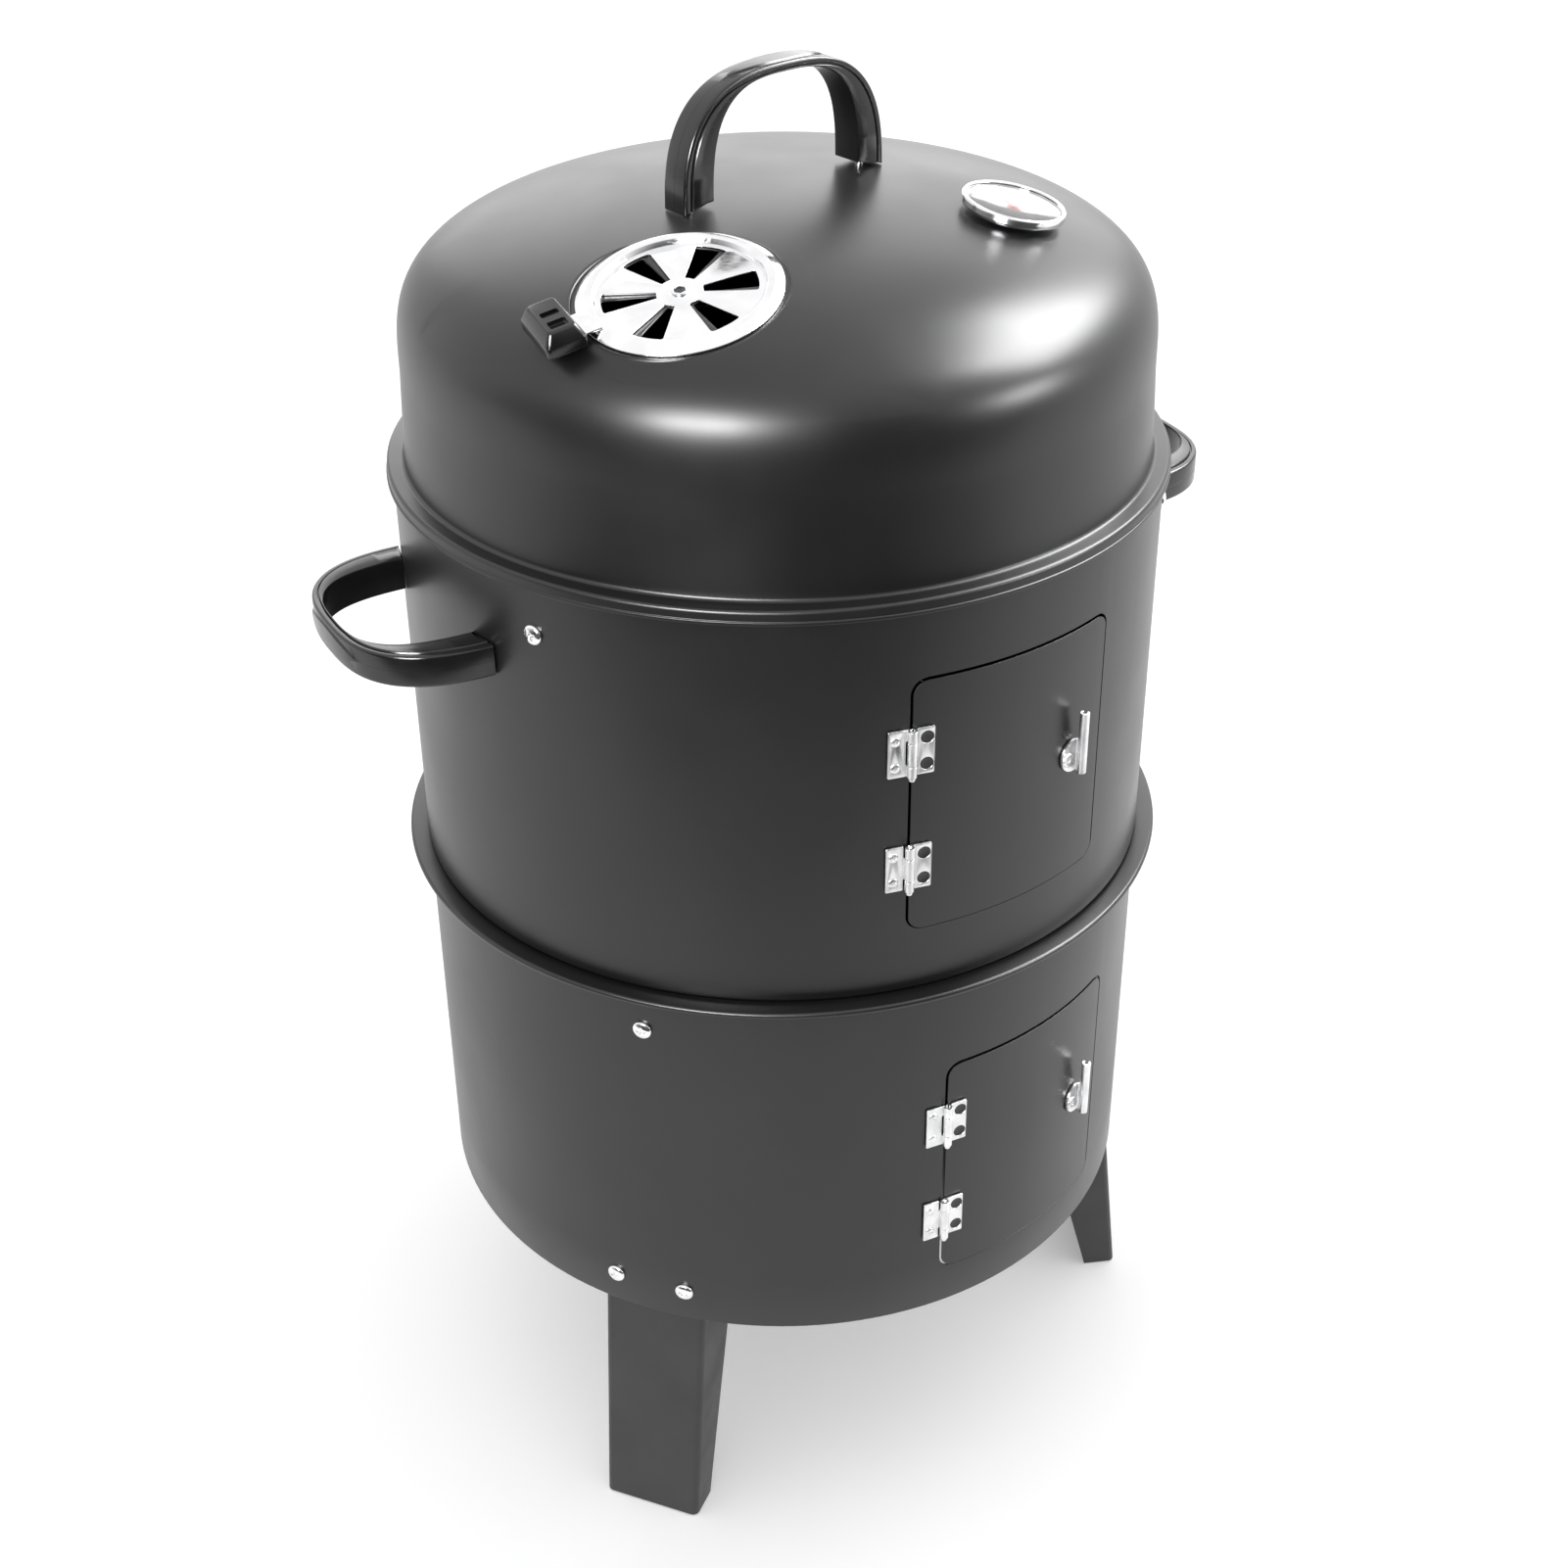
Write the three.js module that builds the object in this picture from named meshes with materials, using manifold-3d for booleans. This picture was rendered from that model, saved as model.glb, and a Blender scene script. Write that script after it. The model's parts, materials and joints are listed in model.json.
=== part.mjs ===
// Vertical water smoker: two stacked steel chambers with a door each, a domed lid with a vent
// damper and a thermometer, bowls and grates inside, on three splayed legs.
// Millimetres, +Z up, origin on the smoker's axis at floor level, front towards -Y.
// An azimuth is an angle about +Z from the front (-Y), growing towards +X, in degrees.

import * as THREE from 'three';
import { mergeVertices } from 'three/addons/utils/BufferGeometryUtils.js';
import Module from 'manifold-3d';

// ---------------------------------------------------------------- driving dimensions

const SHEET = 1.2;                 // body sheet with its enamel
const GAP = 0.3;                   // clearance between pieces that touch
const SIDES = 48;                  // facets round the shells
const BOWL_SIDES = 36;             // facets round bowls and grates
const ROUND_SIDES = 24;            // facets round the damper, its seat and the thermometer
const SMALL_SIDES = 8;             // facets round screws, pins and rivets

const WALL_RADIUS = 200;           // outside of both chambers
const LEG_HEIGHT = 142;            // floor to the lower chamber's bottom edge
const LOWER_HEIGHT = 221.5;        // lower chamber, bottom edge to flange top
const UPPER_HEIGHT = 218.6;        // upper chamber, seat to top edge
const NECK_DEPTH = 8.8;            // how far the upper chamber's neck sits in the lower one
const NECK_INSET = 1.8;            // how far the neck is stepped in
const FLANGE_RADIUS = 210;         // rolled flange on the lower chamber's mouth
const FLANGE_EDGE = 3.6;

const LID_RIM_RADIUS = 203.25;     // turned-down rim that caps the upper chamber
const LID_RIM_DEPTH = 7.5;
const LID_WALL_RADIUS = 193.7;     // lid wall just above its rim
const LID_SHOULDER_RADIUS = 191.56;
const LID_SHOULDER_HEIGHT = 54.8;  // from the rim's lower edge
const LID_DOME_HEIGHT = 85.8;      // from the shoulder to the crown
const DOME_RADIUS_POWER = 1.9165;  // superellipse powers of the dome's section
const DOME_HEIGHT_POWER = 3.7836;
const DOME_STEPS = 7;

const DOOR_SPAN = 34.8;            // degrees
const DOOR_HEIGHT = 140;
const DOOR_CORNER = 7.6;
const DOOR_GAP = 1.2;              // between door and chamber wall
const UPPER_DOOR = { azimuth: 35.2, z: LEG_HEIGHT + 328.8 };
const LOWER_DOOR = { azimuth: 42.5, z: LEG_HEIGHT + 95.5 };

const HINGE_SPREAD = 32.5;         // hinge centre above and below the door's middle
const HINGE_HEIGHT = 25.4;
const LEAF_REACH = 11.8;           // pin axis to the leaf's far edge
const LEAF_THICKNESS = 1.2;
const KNUCKLE_RADIUS = 2.4;
const PIN_RADIUS = 1.2;
const PIN_BORE = 1.55;
const PIN_STICKS_OUT = 2.2;
const HINGE_AXIS_RADIUS = WALL_RADIUS + GAP + KNUCKLE_RADIUS + 0.2;

const LATCH_INSET = 28.2;          // pivot to the door's free edge, round the wall
const LATCH_DROP = 1.5;            // pivot below the door's middle
const LATCH_DISC_RADIUS = 9;
const LATCH_DISC_OFFSET = 4.9;     // disc centre from the pivot, away from the hinges
const LATCH_WEB_OFFSET = 7.5;
const LATCH_GRIP_REACH = 6;        // grip roll's axis out from the door
const LATCH_GRIP_RADIUS = 2.4;
const LATCH_GRIP_LOW = -7;
const LATCH_GRIP_HIGH = 27;
const RIVET_SHANK_RADIUS = 2.3;
const RIVET_FLANGE_RADIUS = 4;
const LATCH_BORE_RADIUS = 2.6;
const DOOR_BORE_RADIUS = 3.1;
const TONGUE_RADIUS = 193;         // inner face of the latch tongue
const TONGUE_LENGTH = 42;
const TONGUE_WIDTH = 12;

const HANDLE_WIDTH = 17.8;         // all three handles are the same moulding
const HANDLE_HALF_SPAN = 64.5;
const HANDLE_RISE = 63;
const HANDLE_INNER_HALF_SPAN = 46;
const HANDLE_INNER_RISE = 57.6;
const HANDLE_FOOT_SLANT = 5.2;
const HANDLE_OUTER_POWER = 2.6;
const HANDLE_INNER_POWER = 3;
const HANDLE_STEPS = 10;            // even, so that a facet corner is at the crown
const HANDLE_SCREW_SPREAD = 55;
const LID_HANDLE_AZIMUTH = 130;    // direction in which the lid handle runs
const LID_HANDLE_BASE = 138;     // handle foot above the lid rim's lower edge
const LID_SCREW_FACE = -1.7;       // lid's inner face under the handle's foot
const SIDE_HANDLE_AZIMUTHS = [-61.5, 118.5];
const SIDE_HANDLE_Z = LEG_HEIGHT + 388;
const SIDE_HANDLE_RADIUS = 190.5;    // handle foot plane from the smoker's axis

const LEG_AZIMUTHS = [-22, 98, 218];
const LEG_NAMES = ['front', 'right', 'rear'];
const LEG_SHEET = 1.5;
const LEG_WIDTH = 60;
const LEG_FACE_RADIUS = 196;       // leg's flat face behind the wall
const LEG_FOOT_RADIUS = 212;       // and at the floor
const LEG_TAB = 29.5;              // how far a leg runs up inside the chamber
const LEG_FLANGE_TOP = 42;
const LEG_FLANGE_FOOT = 20;
const LEG_SCREW_SPREAD = 20.3;
const LEG_SCREW_Z = LEG_HEIGHT + 19.8;

const SCREW_HEAD_RADIUS = 5.2;
const SCREW_HEAD_HEIGHT = 2.6;
const SCREW_SHANK_RADIUS = 2.2;
const SCREW_HOLE_RADIUS = 2.6;

const LOWER_BRACKET_AZIMUTHS = [-21.1, 98.9, 218.9];
const UPPER_BRACKET_AZIMUTHS = [-35.4, 84.6, 204.6];
const LOWER_BRACKET_SCREW_Z = LEG_HEIGHT + 195.5;
const UPPER_BRACKET_SCREW_Z = LEG_HEIGHT + 410.6;
const BRACKET_WIDTH = 24;
const BRACKET_SHEET = 2;
const BRACKET_RADIUS = 198;        // bracket's back against the chamber wall
const GRATE_LEDGE_REACH = 178;     // how near the axis each kind of ledge comes
const WATER_LEDGE_REACH = 167;
const CHARCOAL_LEDGE_REACH = 165;
const CHARCOAL_LEDGE_WIDTH = 52;

const GRATE_RADIUS = 186;
const CHARCOAL_GRATE_RADIUS = 168;
const CHARCOAL_GRATE_LIFT = 14;    // charcoal grate above the bowl's bearing
const GRATE_RING = 4;              // ring and rod thicknesses
const GRATE_ROD = 3;
const GRATE_PITCH = 31;
const CHARCOAL_BOWL = { floorRadius: 170, wallRadius: 176, rimRadius: 182, depth: 62 };
const WATER_BOWL = { floorRadius: 138, wallRadius: 165, rimRadius: 174, depth: 68 };

const THERMOMETER = { azimuth: 78, radius: 116.3, tilt: 11.6, surface: 130.3 };
const BEZEL_RADIUS = 26;           // 2 inch thermometer
const BEZEL_BORE_RADIUS = 24.4;
const DIAL_RADIUS = 23.4;
const DIAL_SIDES = 20;
const STEM_LENGTH = 60;
const STEM_RADIUS = 1.8;
const STEM_NECK_RADIUS = 2.9;
const STEM_BORE_RADIUS = 3.6;
const VENT = { azimuth: -20.9, radius: 123, tilt: 15.5, surface: 123.2 };
const VENT_SEAT_LIFT = 1.5;        // pressed flat seat above the origin of the vent's parts
const VENT_SEAT_RADIUS = 50;
const VENT_SEAT_FOOT_RADIUS = 54.5;
const VENT_SEAT_DEPTH = 24;
const VENT_RADIUS = 48.2;
const VENT_BORE_RADIUS = 2.6;
const SLOT_INNER = 11;
const SLOT_OUTER = 36.3;
const SLOT_ANGLE = 25;             // degrees, each of the six wedge slots
const SLOT_COUNT = 6;
const DAMPER_SLOT_DIRECTION = 33;  // degrees round the damper
const LID_SLOT_DIRECTION = 27;     // the lid's slots lag, so the vent is nearly open
const DAMPER_SHEET = 0.9;
const DAMPER_RING_HEIGHT = 2.6;    // raised ring near the damper's edge
const DAMPER_TAB_DIRECTION = 132;
const TAB_LOW = 3.6;               // the tab clears the dome beside the sunk seat
const TAB_HALF_WIDTH = 8.5;
const TAB_REACH = 19;              // beyond the damper's edge
const KNOB_GAP = 4;                // damper's edge to the knob
const KNOB_DEPTH = 20;
const KNOB_HALF_WIDTH = 15.5;
const KNOB_LOW = 2.3;              // from the damper's underside
const KNOB_HIGH = 14.5;
const KNOB_SHOULDER = 8;           // where its sides start to lean in
const KNOB_LEAN = 3;               // how far they lean in at the top
const POINTER_COLD = 135;          // degrees from the dial's top to the cold end of its scale

// ---------------------------------------------------------------- heights worked out

const LOWER_TOP = LEG_HEIGHT + LOWER_HEIGHT;
const UPPER_SEAT = LOWER_TOP + GAP;
const UPPER_TOP = UPPER_SEAT + UPPER_HEIGHT;
const LID_RIM_TOP = UPPER_TOP + GAP + SHEET;
const LID_BASE = LID_RIM_TOP - LID_RIM_DEPTH;
const GRATE_BEARING_LOWER = LOWER_TOP - 18.5;
const WATER_BOWL_BEARING = LOWER_TOP - 40;
const GRATE_BEARING_UPPER = UPPER_TOP - 37;
const CHARCOAL_BEARING = LEG_HEIGHT + 30;

// ---------------------------------------------------------------- solids and booleans

const wasm = await Module();
wasm.setup();

/** A closed three.js geometry as a manifold solid. */
function solid(geometry) {
  const bare = geometry.clone();
  bare.deleteAttribute('normal');
  bare.deleteAttribute('uv');
  const merged = mergeVertices(bare, 1e-4);
  const mesh = new wasm.Mesh({
    numProp: 3,
    vertProperties: new Float32Array(merged.attributes.position.array),
    triVerts: new Uint32Array(merged.index.array),
  });
  return new wasm.Manifold(mesh);
}

/** A manifold solid as a three.js geometry. */
function geometryOf(manifold) {
  const mesh = manifold.getMesh();
  const geometry = new THREE.BufferGeometry();
  geometry.setAttribute('position', new THREE.BufferAttribute(mesh.vertProperties, 3));
  geometry.setIndex(new THREE.BufferAttribute(mesh.triVerts, 1));
  geometry.computeVertexNormals();
  return geometry;
}

const join = (...geometries) =>
  geometryOf(geometries.map(solid).reduce((sum, next) => sum.add(next)));

const cut = (body, ...tools) =>
  geometryOf(tools.map(solid).reduce((rest, tool) => rest.subtract(tool), solid(body)));

const common = (a, b) => geometryOf(solid(a).intersect(solid(b)));

const radians = THREE.MathUtils.degToRad;

/** A solid of revolution about +Z from [radius, z] points that run anticlockwise. */
function turned(points, sides = SMALL_SIDES) {
  const profile = points.map(([radius, z]) => new THREE.Vector2(radius, z));
  return new THREE.LatheGeometry(profile, sides).rotateX(Math.PI / 2);
}

const disc = (radius, low, high, sides) =>
  turned([[0, low], [radius, low], [radius, high], [0, high]], sides);

function box(xLow, xHigh, yLow, yHigh, zLow, zHigh) {
  const geometry = new THREE.BoxGeometry(xHigh - xLow, yHigh - yLow, zHigh - zLow);
  return geometry.translate((xLow + xHigh) / 2, (yLow + yHigh) / 2, (zLow + zHigh) / 2);
}

/** A flat outline of [u, v] points pushed along w from wLow to wHigh. */
function plate(outline, wLow, wHigh, curveSegments = 4) {
  const shape = outline instanceof THREE.Shape
    ? outline
    : new THREE.Shape(outline.map(([u, v]) => new THREE.Vector2(u, v)));
  const geometry = new THREE.ExtrudeGeometry(shape, {
    depth: wHigh - wLow, bevelEnabled: false, curveSegments,
  });
  return geometry.translate(0, 0, wLow);
}

/** Turns a plate drawn in (outward, z) so that its thickness runs along the wall, towards -X. */
const acrossWall = (geometry) => geometry.rotateX(Math.PI / 2).rotateZ(-Math.PI / 2);

/** A round bar that points out of the wall at the front, from one radius to another. */
const radialBar = (radius, from, to, x = 0, z = 0, sides = SMALL_SIDES) =>
  disc(radius, from, to, sides).rotateX(Math.PI / 2).translate(x, 0, z);

function roundedRectangle(halfWidth, halfHeight, corner) {
  const shape = new THREE.Shape();
  shape.moveTo(-halfWidth + corner, -halfHeight);
  shape.lineTo(halfWidth - corner, -halfHeight);
  shape.absarc(halfWidth - corner, -halfHeight + corner, corner, -Math.PI / 2, 0);
  shape.lineTo(halfWidth, halfHeight - corner);
  shape.absarc(halfWidth - corner, halfHeight - corner, corner, 0, Math.PI / 2);
  shape.lineTo(-halfWidth + corner, halfHeight);
  shape.absarc(-halfWidth + corner, halfHeight - corner, corner, Math.PI / 2, Math.PI);
  shape.lineTo(-halfWidth, -halfHeight + corner);
  shape.absarc(-halfWidth + corner, -halfHeight + corner, corner, Math.PI, Math.PI * 1.5);
  return shape;
}

// ---------------------------------------------------------------- materials and placing

const material = (color, roughness, metalness) =>
  new THREE.MeshStandardMaterial({ color, roughness, metalness });

const enamel = () => material(0x161616, 0.35, 0.1);
const steelPaint = () => material(0x2b2b2b, 0.5, 0.2);
const chrome = () => material(0xd8d8d8, 0.15, 1);
const zinc = () => material(0xc8c8c4, 0.3, 1);
const wire = () => material(0xb4b4b0, 0.3, 1);
const blackPlastic = () => material(0x141414, 0.3, 0);
const dialFace = () => material(0xf2f2f0, 0.6, 0);
const clearGlass = () => material(0xf4f8f8, 0.05, 0);
const redPaint = () => material(0xa01818, 0.5, 0);

function piece(name, geometry, finish) {
  const mesh = new THREE.Mesh(geometry, finish);
  mesh.name = name;
  return mesh;
}

/** Puts pieces that are modelled at the front, facing -Y, at an azimuth of the wall. */
function atAzimuth(azimuth, ...pieces) {
  const group = new THREE.Group();
  group.rotation.z = radians(azimuth);
  group.add(...pieces);
  return group;
}

/** Puts pieces modelled on a flat seat, +Z out of it and -Y down the slope, on the lid. */
function onLid({ azimuth, radius, tilt, surface }, lift, ...pieces) {
  const seat = new THREE.Group();
  seat.position.set(0, -radius, LID_BASE + surface);
  seat.rotation.x = radians(tilt);
  const lifted = new THREE.Group();
  lifted.position.z = lift;
  lifted.add(...pieces);
  seat.add(lifted);
  return atAzimuth(azimuth, seat);
}

/** The same placing for a tool that cuts the lid. */
function seatMatrix({ azimuth, radius, tilt, surface }) {
  const place = new THREE.Matrix4().makeRotationZ(radians(azimuth));
  place.multiply(new THREE.Matrix4().makeTranslation(0, -radius, LID_BASE + surface));
  return place.multiply(new THREE.Matrix4().makeRotationX(radians(tilt)));
}

// ---------------------------------------------------------------- fasteners

/** Dome-headed screw through the wall at the front, its shank reaching in to a radius. */
function wallScrew(x, z, shankEnd) {
  const head = WALL_RADIUS + GAP;
  const crown = head + SCREW_HEAD_HEIGHT;
  const profile = [
    [0, shankEnd], [SCREW_SHANK_RADIUS, shankEnd], [SCREW_SHANK_RADIUS, head],
    [SCREW_HEAD_RADIUS, head], [SCREW_HEAD_RADIUS * 0.88, head + SCREW_HEAD_HEIGHT * 0.55],
    [SCREW_HEAD_RADIUS * 0.5, head + SCREW_HEAD_HEIGHT * 0.88], [0, crown],
  ];
  return turned(profile).rotateX(Math.PI / 2).translate(x, 0, z);
}

const wallHole = (azimuth, x, z) =>
  radialBar(SCREW_HOLE_RADIUS, WALL_RADIUS - 12, WALL_RADIUS + 6, x, z).rotateZ(radians(azimuth));

// ---------------------------------------------------------------- doors

/** A block with rounded corners that stands out of the wall where the door is. */
function doorBlock({ azimuth, z }, grow) {
  const halfWidth = WALL_RADIUS * Math.sin(radians(DOOR_SPAN / 2)) + grow;
  const outline = roundedRectangle(halfWidth, DOOR_HEIGHT / 2 + grow, DOOR_CORNER + grow);
  const block = plate(outline, WALL_RADIUS - 40, WALL_RADIUS + 10);
  return block.rotateX(Math.PI / 2).translate(0, 0, z).rotateZ(radians(azimuth));
}

const doorLatchAzimuth = (door) =>
  door.azimuth + DOOR_SPAN / 2 - THREE.MathUtils.radToDeg(LATCH_INSET / WALL_RADIUS);

const doorHingeAzimuth = (door) =>
  door.azimuth - DOOR_SPAN / 2 - THREE.MathUtils.radToDeg(DOOR_GAP / 2 / WALL_RADIUS);

function doorPanel(door) {
  const half = DOOR_HEIGHT / 2 + 5;
  const ring = turned([
    [WALL_RADIUS - SHEET, door.z - half], [WALL_RADIUS, door.z - half],
    [WALL_RADIUS, door.z + half], [WALL_RADIUS - SHEET, door.z + half],
    [WALL_RADIUS - SHEET, door.z - half],
  ], SIDES);
  const rivetHole = radialBar(
    DOOR_BORE_RADIUS, WALL_RADIUS - 8, WALL_RADIUS + 8, 0, door.z - LATCH_DROP);
  return cut(common(ring, doorBlock(door, 0)), rivetHole.rotateZ(radians(doorLatchAzimuth(door))));
}

/** Hinge leaf on its own side of the pin (-1 chamber, +1 door), modelled at the hinge's azimuth. */
function hingeLeaf(side, knuckleSpans, z, carriesPin) {
  const low = z - HINGE_HEIGHT / 2;
  const high = z + HINGE_HEIGHT / 2;
  const inner = WALL_RADIUS + GAP;
  const clear = KNUCKLE_RADIUS + 0.4;
  const leaf = side < 0
    ? box(-LEAF_REACH, -clear, -inner - LEAF_THICKNESS, -inner, low, high)
    : box(clear, LEAF_REACH, -inner - LEAF_THICKNESS, -inner, low, high);
  let body = leaf;
  for (const [from, to] of knuckleSpans) {
    const knuckle = disc(KNUCKLE_RADIUS, z + from, z + to).translate(0, -HINGE_AXIS_RADIUS, 0);
    const bridge = side < 0
      ? box(-clear - 1, -KNUCKLE_RADIUS * 0.4, -inner - LEAF_THICKNESS, -inner - 0.1, z + from, z + to)
      : box(KNUCKLE_RADIUS * 0.4, clear + 1, -inner - LEAF_THICKNESS, -inner - 0.1, z + from, z + to);
    body = join(body, bridge, knuckle);
  }
  const pinLow = low - PIN_STICKS_OUT;
  if (carriesPin) {
    const pin = disc(PIN_RADIUS, pinLow, high - 0.5).translate(0, -HINGE_AXIS_RADIUS, 0);
    return join(body, pin);
  }
  const bore = disc(PIN_BORE, low - 5, high + 5).translate(0, -HINGE_AXIS_RADIUS, 0);
  return cut(body, bore);
}

const KNUCKLE_CUT = HINGE_HEIGHT * 0.25;
const END_KNUCKLES = [[-HINGE_HEIGHT / 2, -KNUCKLE_CUT], [KNUCKLE_CUT, HINGE_HEIGHT / 2]];
const MIDDLE_KNUCKLE = [[-KNUCKLE_CUT + GAP, KNUCKLE_CUT - GAP]];

/** The two hinges of a door: the top one has its middle knuckle on the door, the lower one turned. */
function hinges(prefix, door) {
  const high = door.z + HINGE_SPREAD;
  const low = door.z - HINGE_SPREAD;
  return atAzimuth(
    doorHingeAzimuth(door),
    piece(`${prefix}_hinge_top_frame_leaf_and_pin`, hingeLeaf(-1, END_KNUCKLES, high, true), zinc()),
    piece(`${prefix}_hinge_top_door_leaf`, hingeLeaf(1, MIDDLE_KNUCKLE, high, false), zinc()),
    piece(`${prefix}_hinge_low_frame_leaf_and_pin`, hingeLeaf(-1, MIDDLE_KNUCKLE, low, true), zinc()),
    piece(`${prefix}_hinge_low_door_leaf`, hingeLeaf(1, END_KNUCKLES, low, false), zinc()),
  );
}

/** Bent-sheet turn handle: half-round base on the door, web standing out, rolled grip. */
function latchHandle(z) {
  const back = WALL_RADIUS + 2 * GAP;
  const baseDisc = radialBar(
    LATCH_DISC_RADIUS, back, back + SHEET, LATCH_DISC_OFFSET, z + 1, 20);
  const past = box(LATCH_WEB_OFFSET, 30, -back - 9, -back + 9, z - 20, z + 20);
  const halfDisc = cut(baseDisc, past, radialBar(LATCH_BORE_RADIUS, back - 5, back + 5, 0, z));
  const grip = back + LATCH_GRIP_REACH;
  const webOutline = [
    [back, LATCH_GRIP_LOW + 1], [grip, LATCH_GRIP_LOW + 1], [grip, LATCH_GRIP_HIGH],
    [grip - 3, LATCH_GRIP_HIGH], [back + SHEET, LATCH_DISC_RADIUS], [back, LATCH_DISC_RADIUS - 1],
  ];
  const web = acrossWall(plate(webOutline, -LATCH_WEB_OFFSET, -LATCH_WEB_OFFSET + SHEET));
  const roll = disc(LATCH_GRIP_RADIUS, LATCH_GRIP_LOW, LATCH_GRIP_HIGH)
    .translate(LATCH_WEB_OFFSET - SHEET / 2, -grip, 0);
  return join(halfDisc, web.translate(0, 0, z), roll.translate(0, 0, z));
}

/** Rivet that carries the latch through the door, upset on the outside. */
function latchRivet(z) {
  const outside = WALL_RADIUS + 2 * GAP + SHEET + GAP;
  const inside = TONGUE_RADIUS - 2;
  return turned([
    [0, inside], [RIVET_FLANGE_RADIUS, inside], [RIVET_FLANGE_RADIUS, inside + 1.5],
    [RIVET_SHANK_RADIUS, inside + 1.5], [RIVET_SHANK_RADIUS, outside],
    [RIVET_FLANGE_RADIUS, outside], [RIVET_FLANGE_RADIUS - 0.8, outside + 1.2],
    [0, outside + 1.7],
  ]).rotateX(Math.PI / 2).translate(0, 0, z);
}

/** Flat tongue on the rivet's inner end; it points up, clear of the wall, when the latch is open. */
function latchTongue(z) {
  const outline = roundedRectangle(TONGUE_WIDTH / 2, TONGUE_LENGTH / 2, 3);
  const strip = plate(outline, TONGUE_RADIUS, TONGUE_RADIUS + SHEET).rotateX(Math.PI / 2);
  const lifted = strip.translate(0, 0, z + TONGUE_LENGTH / 2 - TONGUE_WIDTH / 2);
  const hole = radialBar(
    RIVET_SHANK_RADIUS + GAP, TONGUE_RADIUS - 3, TONGUE_RADIUS + 4, 0, z);
  return cut(lifted, hole);
}

function latch(prefix, door) {
  const z = door.z - LATCH_DROP;
  return atAzimuth(
    doorLatchAzimuth(door),
    piece(`${prefix}_latch_handle`, latchHandle(z), zinc()),
    piece(`${prefix}_latch_rivet`, latchRivet(z), zinc()),
    piece(`${prefix}_latch_tongue`, latchTongue(z), zinc()),
  );
}

// ---------------------------------------------------------------- chambers

function lowerChamber() {
  const inner = WALL_RADIUS - SHEET;
  const flangeLow = LOWER_TOP - FLANGE_EDGE;
  const shell = turned([
    [inner, LEG_HEIGHT], [WALL_RADIUS, LEG_HEIGHT], [WALL_RADIUS, flangeLow],
    [FLANGE_RADIUS - 1, flangeLow], [FLANGE_RADIUS, flangeLow + 1],
    [FLANGE_RADIUS, LOWER_TOP - 1], [FLANGE_RADIUS - 1, LOWER_TOP], [inner, LOWER_TOP],
    [inner, LEG_HEIGHT],
  ], SIDES);
  const legHoles = LEG_AZIMUTHS.flatMap((azimuth) =>
    [-1, 1].map((side) => wallHole(azimuth, side * LEG_SCREW_SPREAD, LEG_SCREW_Z)));
  const bracketHoles = LOWER_BRACKET_AZIMUTHS.map((azimuth) =>
    wallHole(azimuth, 0, LOWER_BRACKET_SCREW_Z));
  return cut(shell, doorBlock(LOWER_DOOR, DOOR_GAP), ...legHoles, ...bracketHoles);
}

function upperChamber() {
  const inner = WALL_RADIUS - SHEET;
  const neckOuter = WALL_RADIUS - NECK_INSET;
  const neckInner = neckOuter - SHEET;
  const neckLow = UPPER_SEAT - NECK_DEPTH;
  const shell = turned([
    [neckInner, neckLow], [neckOuter, neckLow], [neckOuter, UPPER_SEAT],
    [WALL_RADIUS, UPPER_SEAT], [WALL_RADIUS, UPPER_TOP], [inner, UPPER_TOP],
    [inner, UPPER_SEAT + SHEET], [neckInner, UPPER_SEAT + SHEET], [neckInner, neckLow],
  ], SIDES);
  const bracketHoles = UPPER_BRACKET_AZIMUTHS.map((azimuth) =>
    wallHole(azimuth, 0, UPPER_BRACKET_SCREW_Z));
  const handleHoles = SIDE_HANDLE_AZIMUTHS.flatMap((azimuth) =>
    [-1, 1].map((side) => wallHole(azimuth, side * HANDLE_SCREW_SPREAD, SIDE_HANDLE_Z)));
  return cut(shell, doorBlock(UPPER_DOOR, DOOR_GAP), ...bracketHoles, ...handleHoles);
}

// ---------------------------------------------------------------- legs and inner brackets

/** Bent-sheet leg: flat face, two tapering flanges, a tab that runs up behind the wall. */
function leg() {
  const top = LEG_HEIGHT + LEG_TAB;
  const half = LEG_WIDTH / 2;
  const face = plate([
    [LEG_FOOT_RADIUS, 0], [LEG_FACE_RADIUS, LEG_HEIGHT - 2], [LEG_FACE_RADIUS, top],
    [LEG_FACE_RADIUS - LEG_SHEET, top], [LEG_FACE_RADIUS - LEG_SHEET, LEG_HEIGHT - 2],
    [LEG_FOOT_RADIUS - LEG_SHEET, 0],
  ], -half, half);
  const sideOutline = [
    [LEG_FOOT_RADIUS, 0], [LEG_FACE_RADIUS, LEG_HEIGHT - 2], [LEG_FACE_RADIUS, top],
    [LEG_FACE_RADIUS - LEG_FLANGE_TOP, top],
    [LEG_FACE_RADIUS - LEG_FLANGE_TOP, LEG_HEIGHT - 10], [LEG_FOOT_RADIUS - LEG_FLANGE_FOOT, 0],
  ];
  const leftFlange = plate(sideOutline, -half, -half + LEG_SHEET);
  const rightFlange = plate(sideOutline, half - LEG_SHEET, half);
  const holes = [-1, 1].map((side) => radialBar(
    SCREW_HOLE_RADIUS, LEG_FACE_RADIUS - 6, LEG_FACE_RADIUS + 6,
    side * LEG_SCREW_SPREAD, LEG_SCREW_Z));
  return cut(join(acrossWall(face), acrossWall(leftFlange), acrossWall(rightFlange)), ...holes);
}

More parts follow.
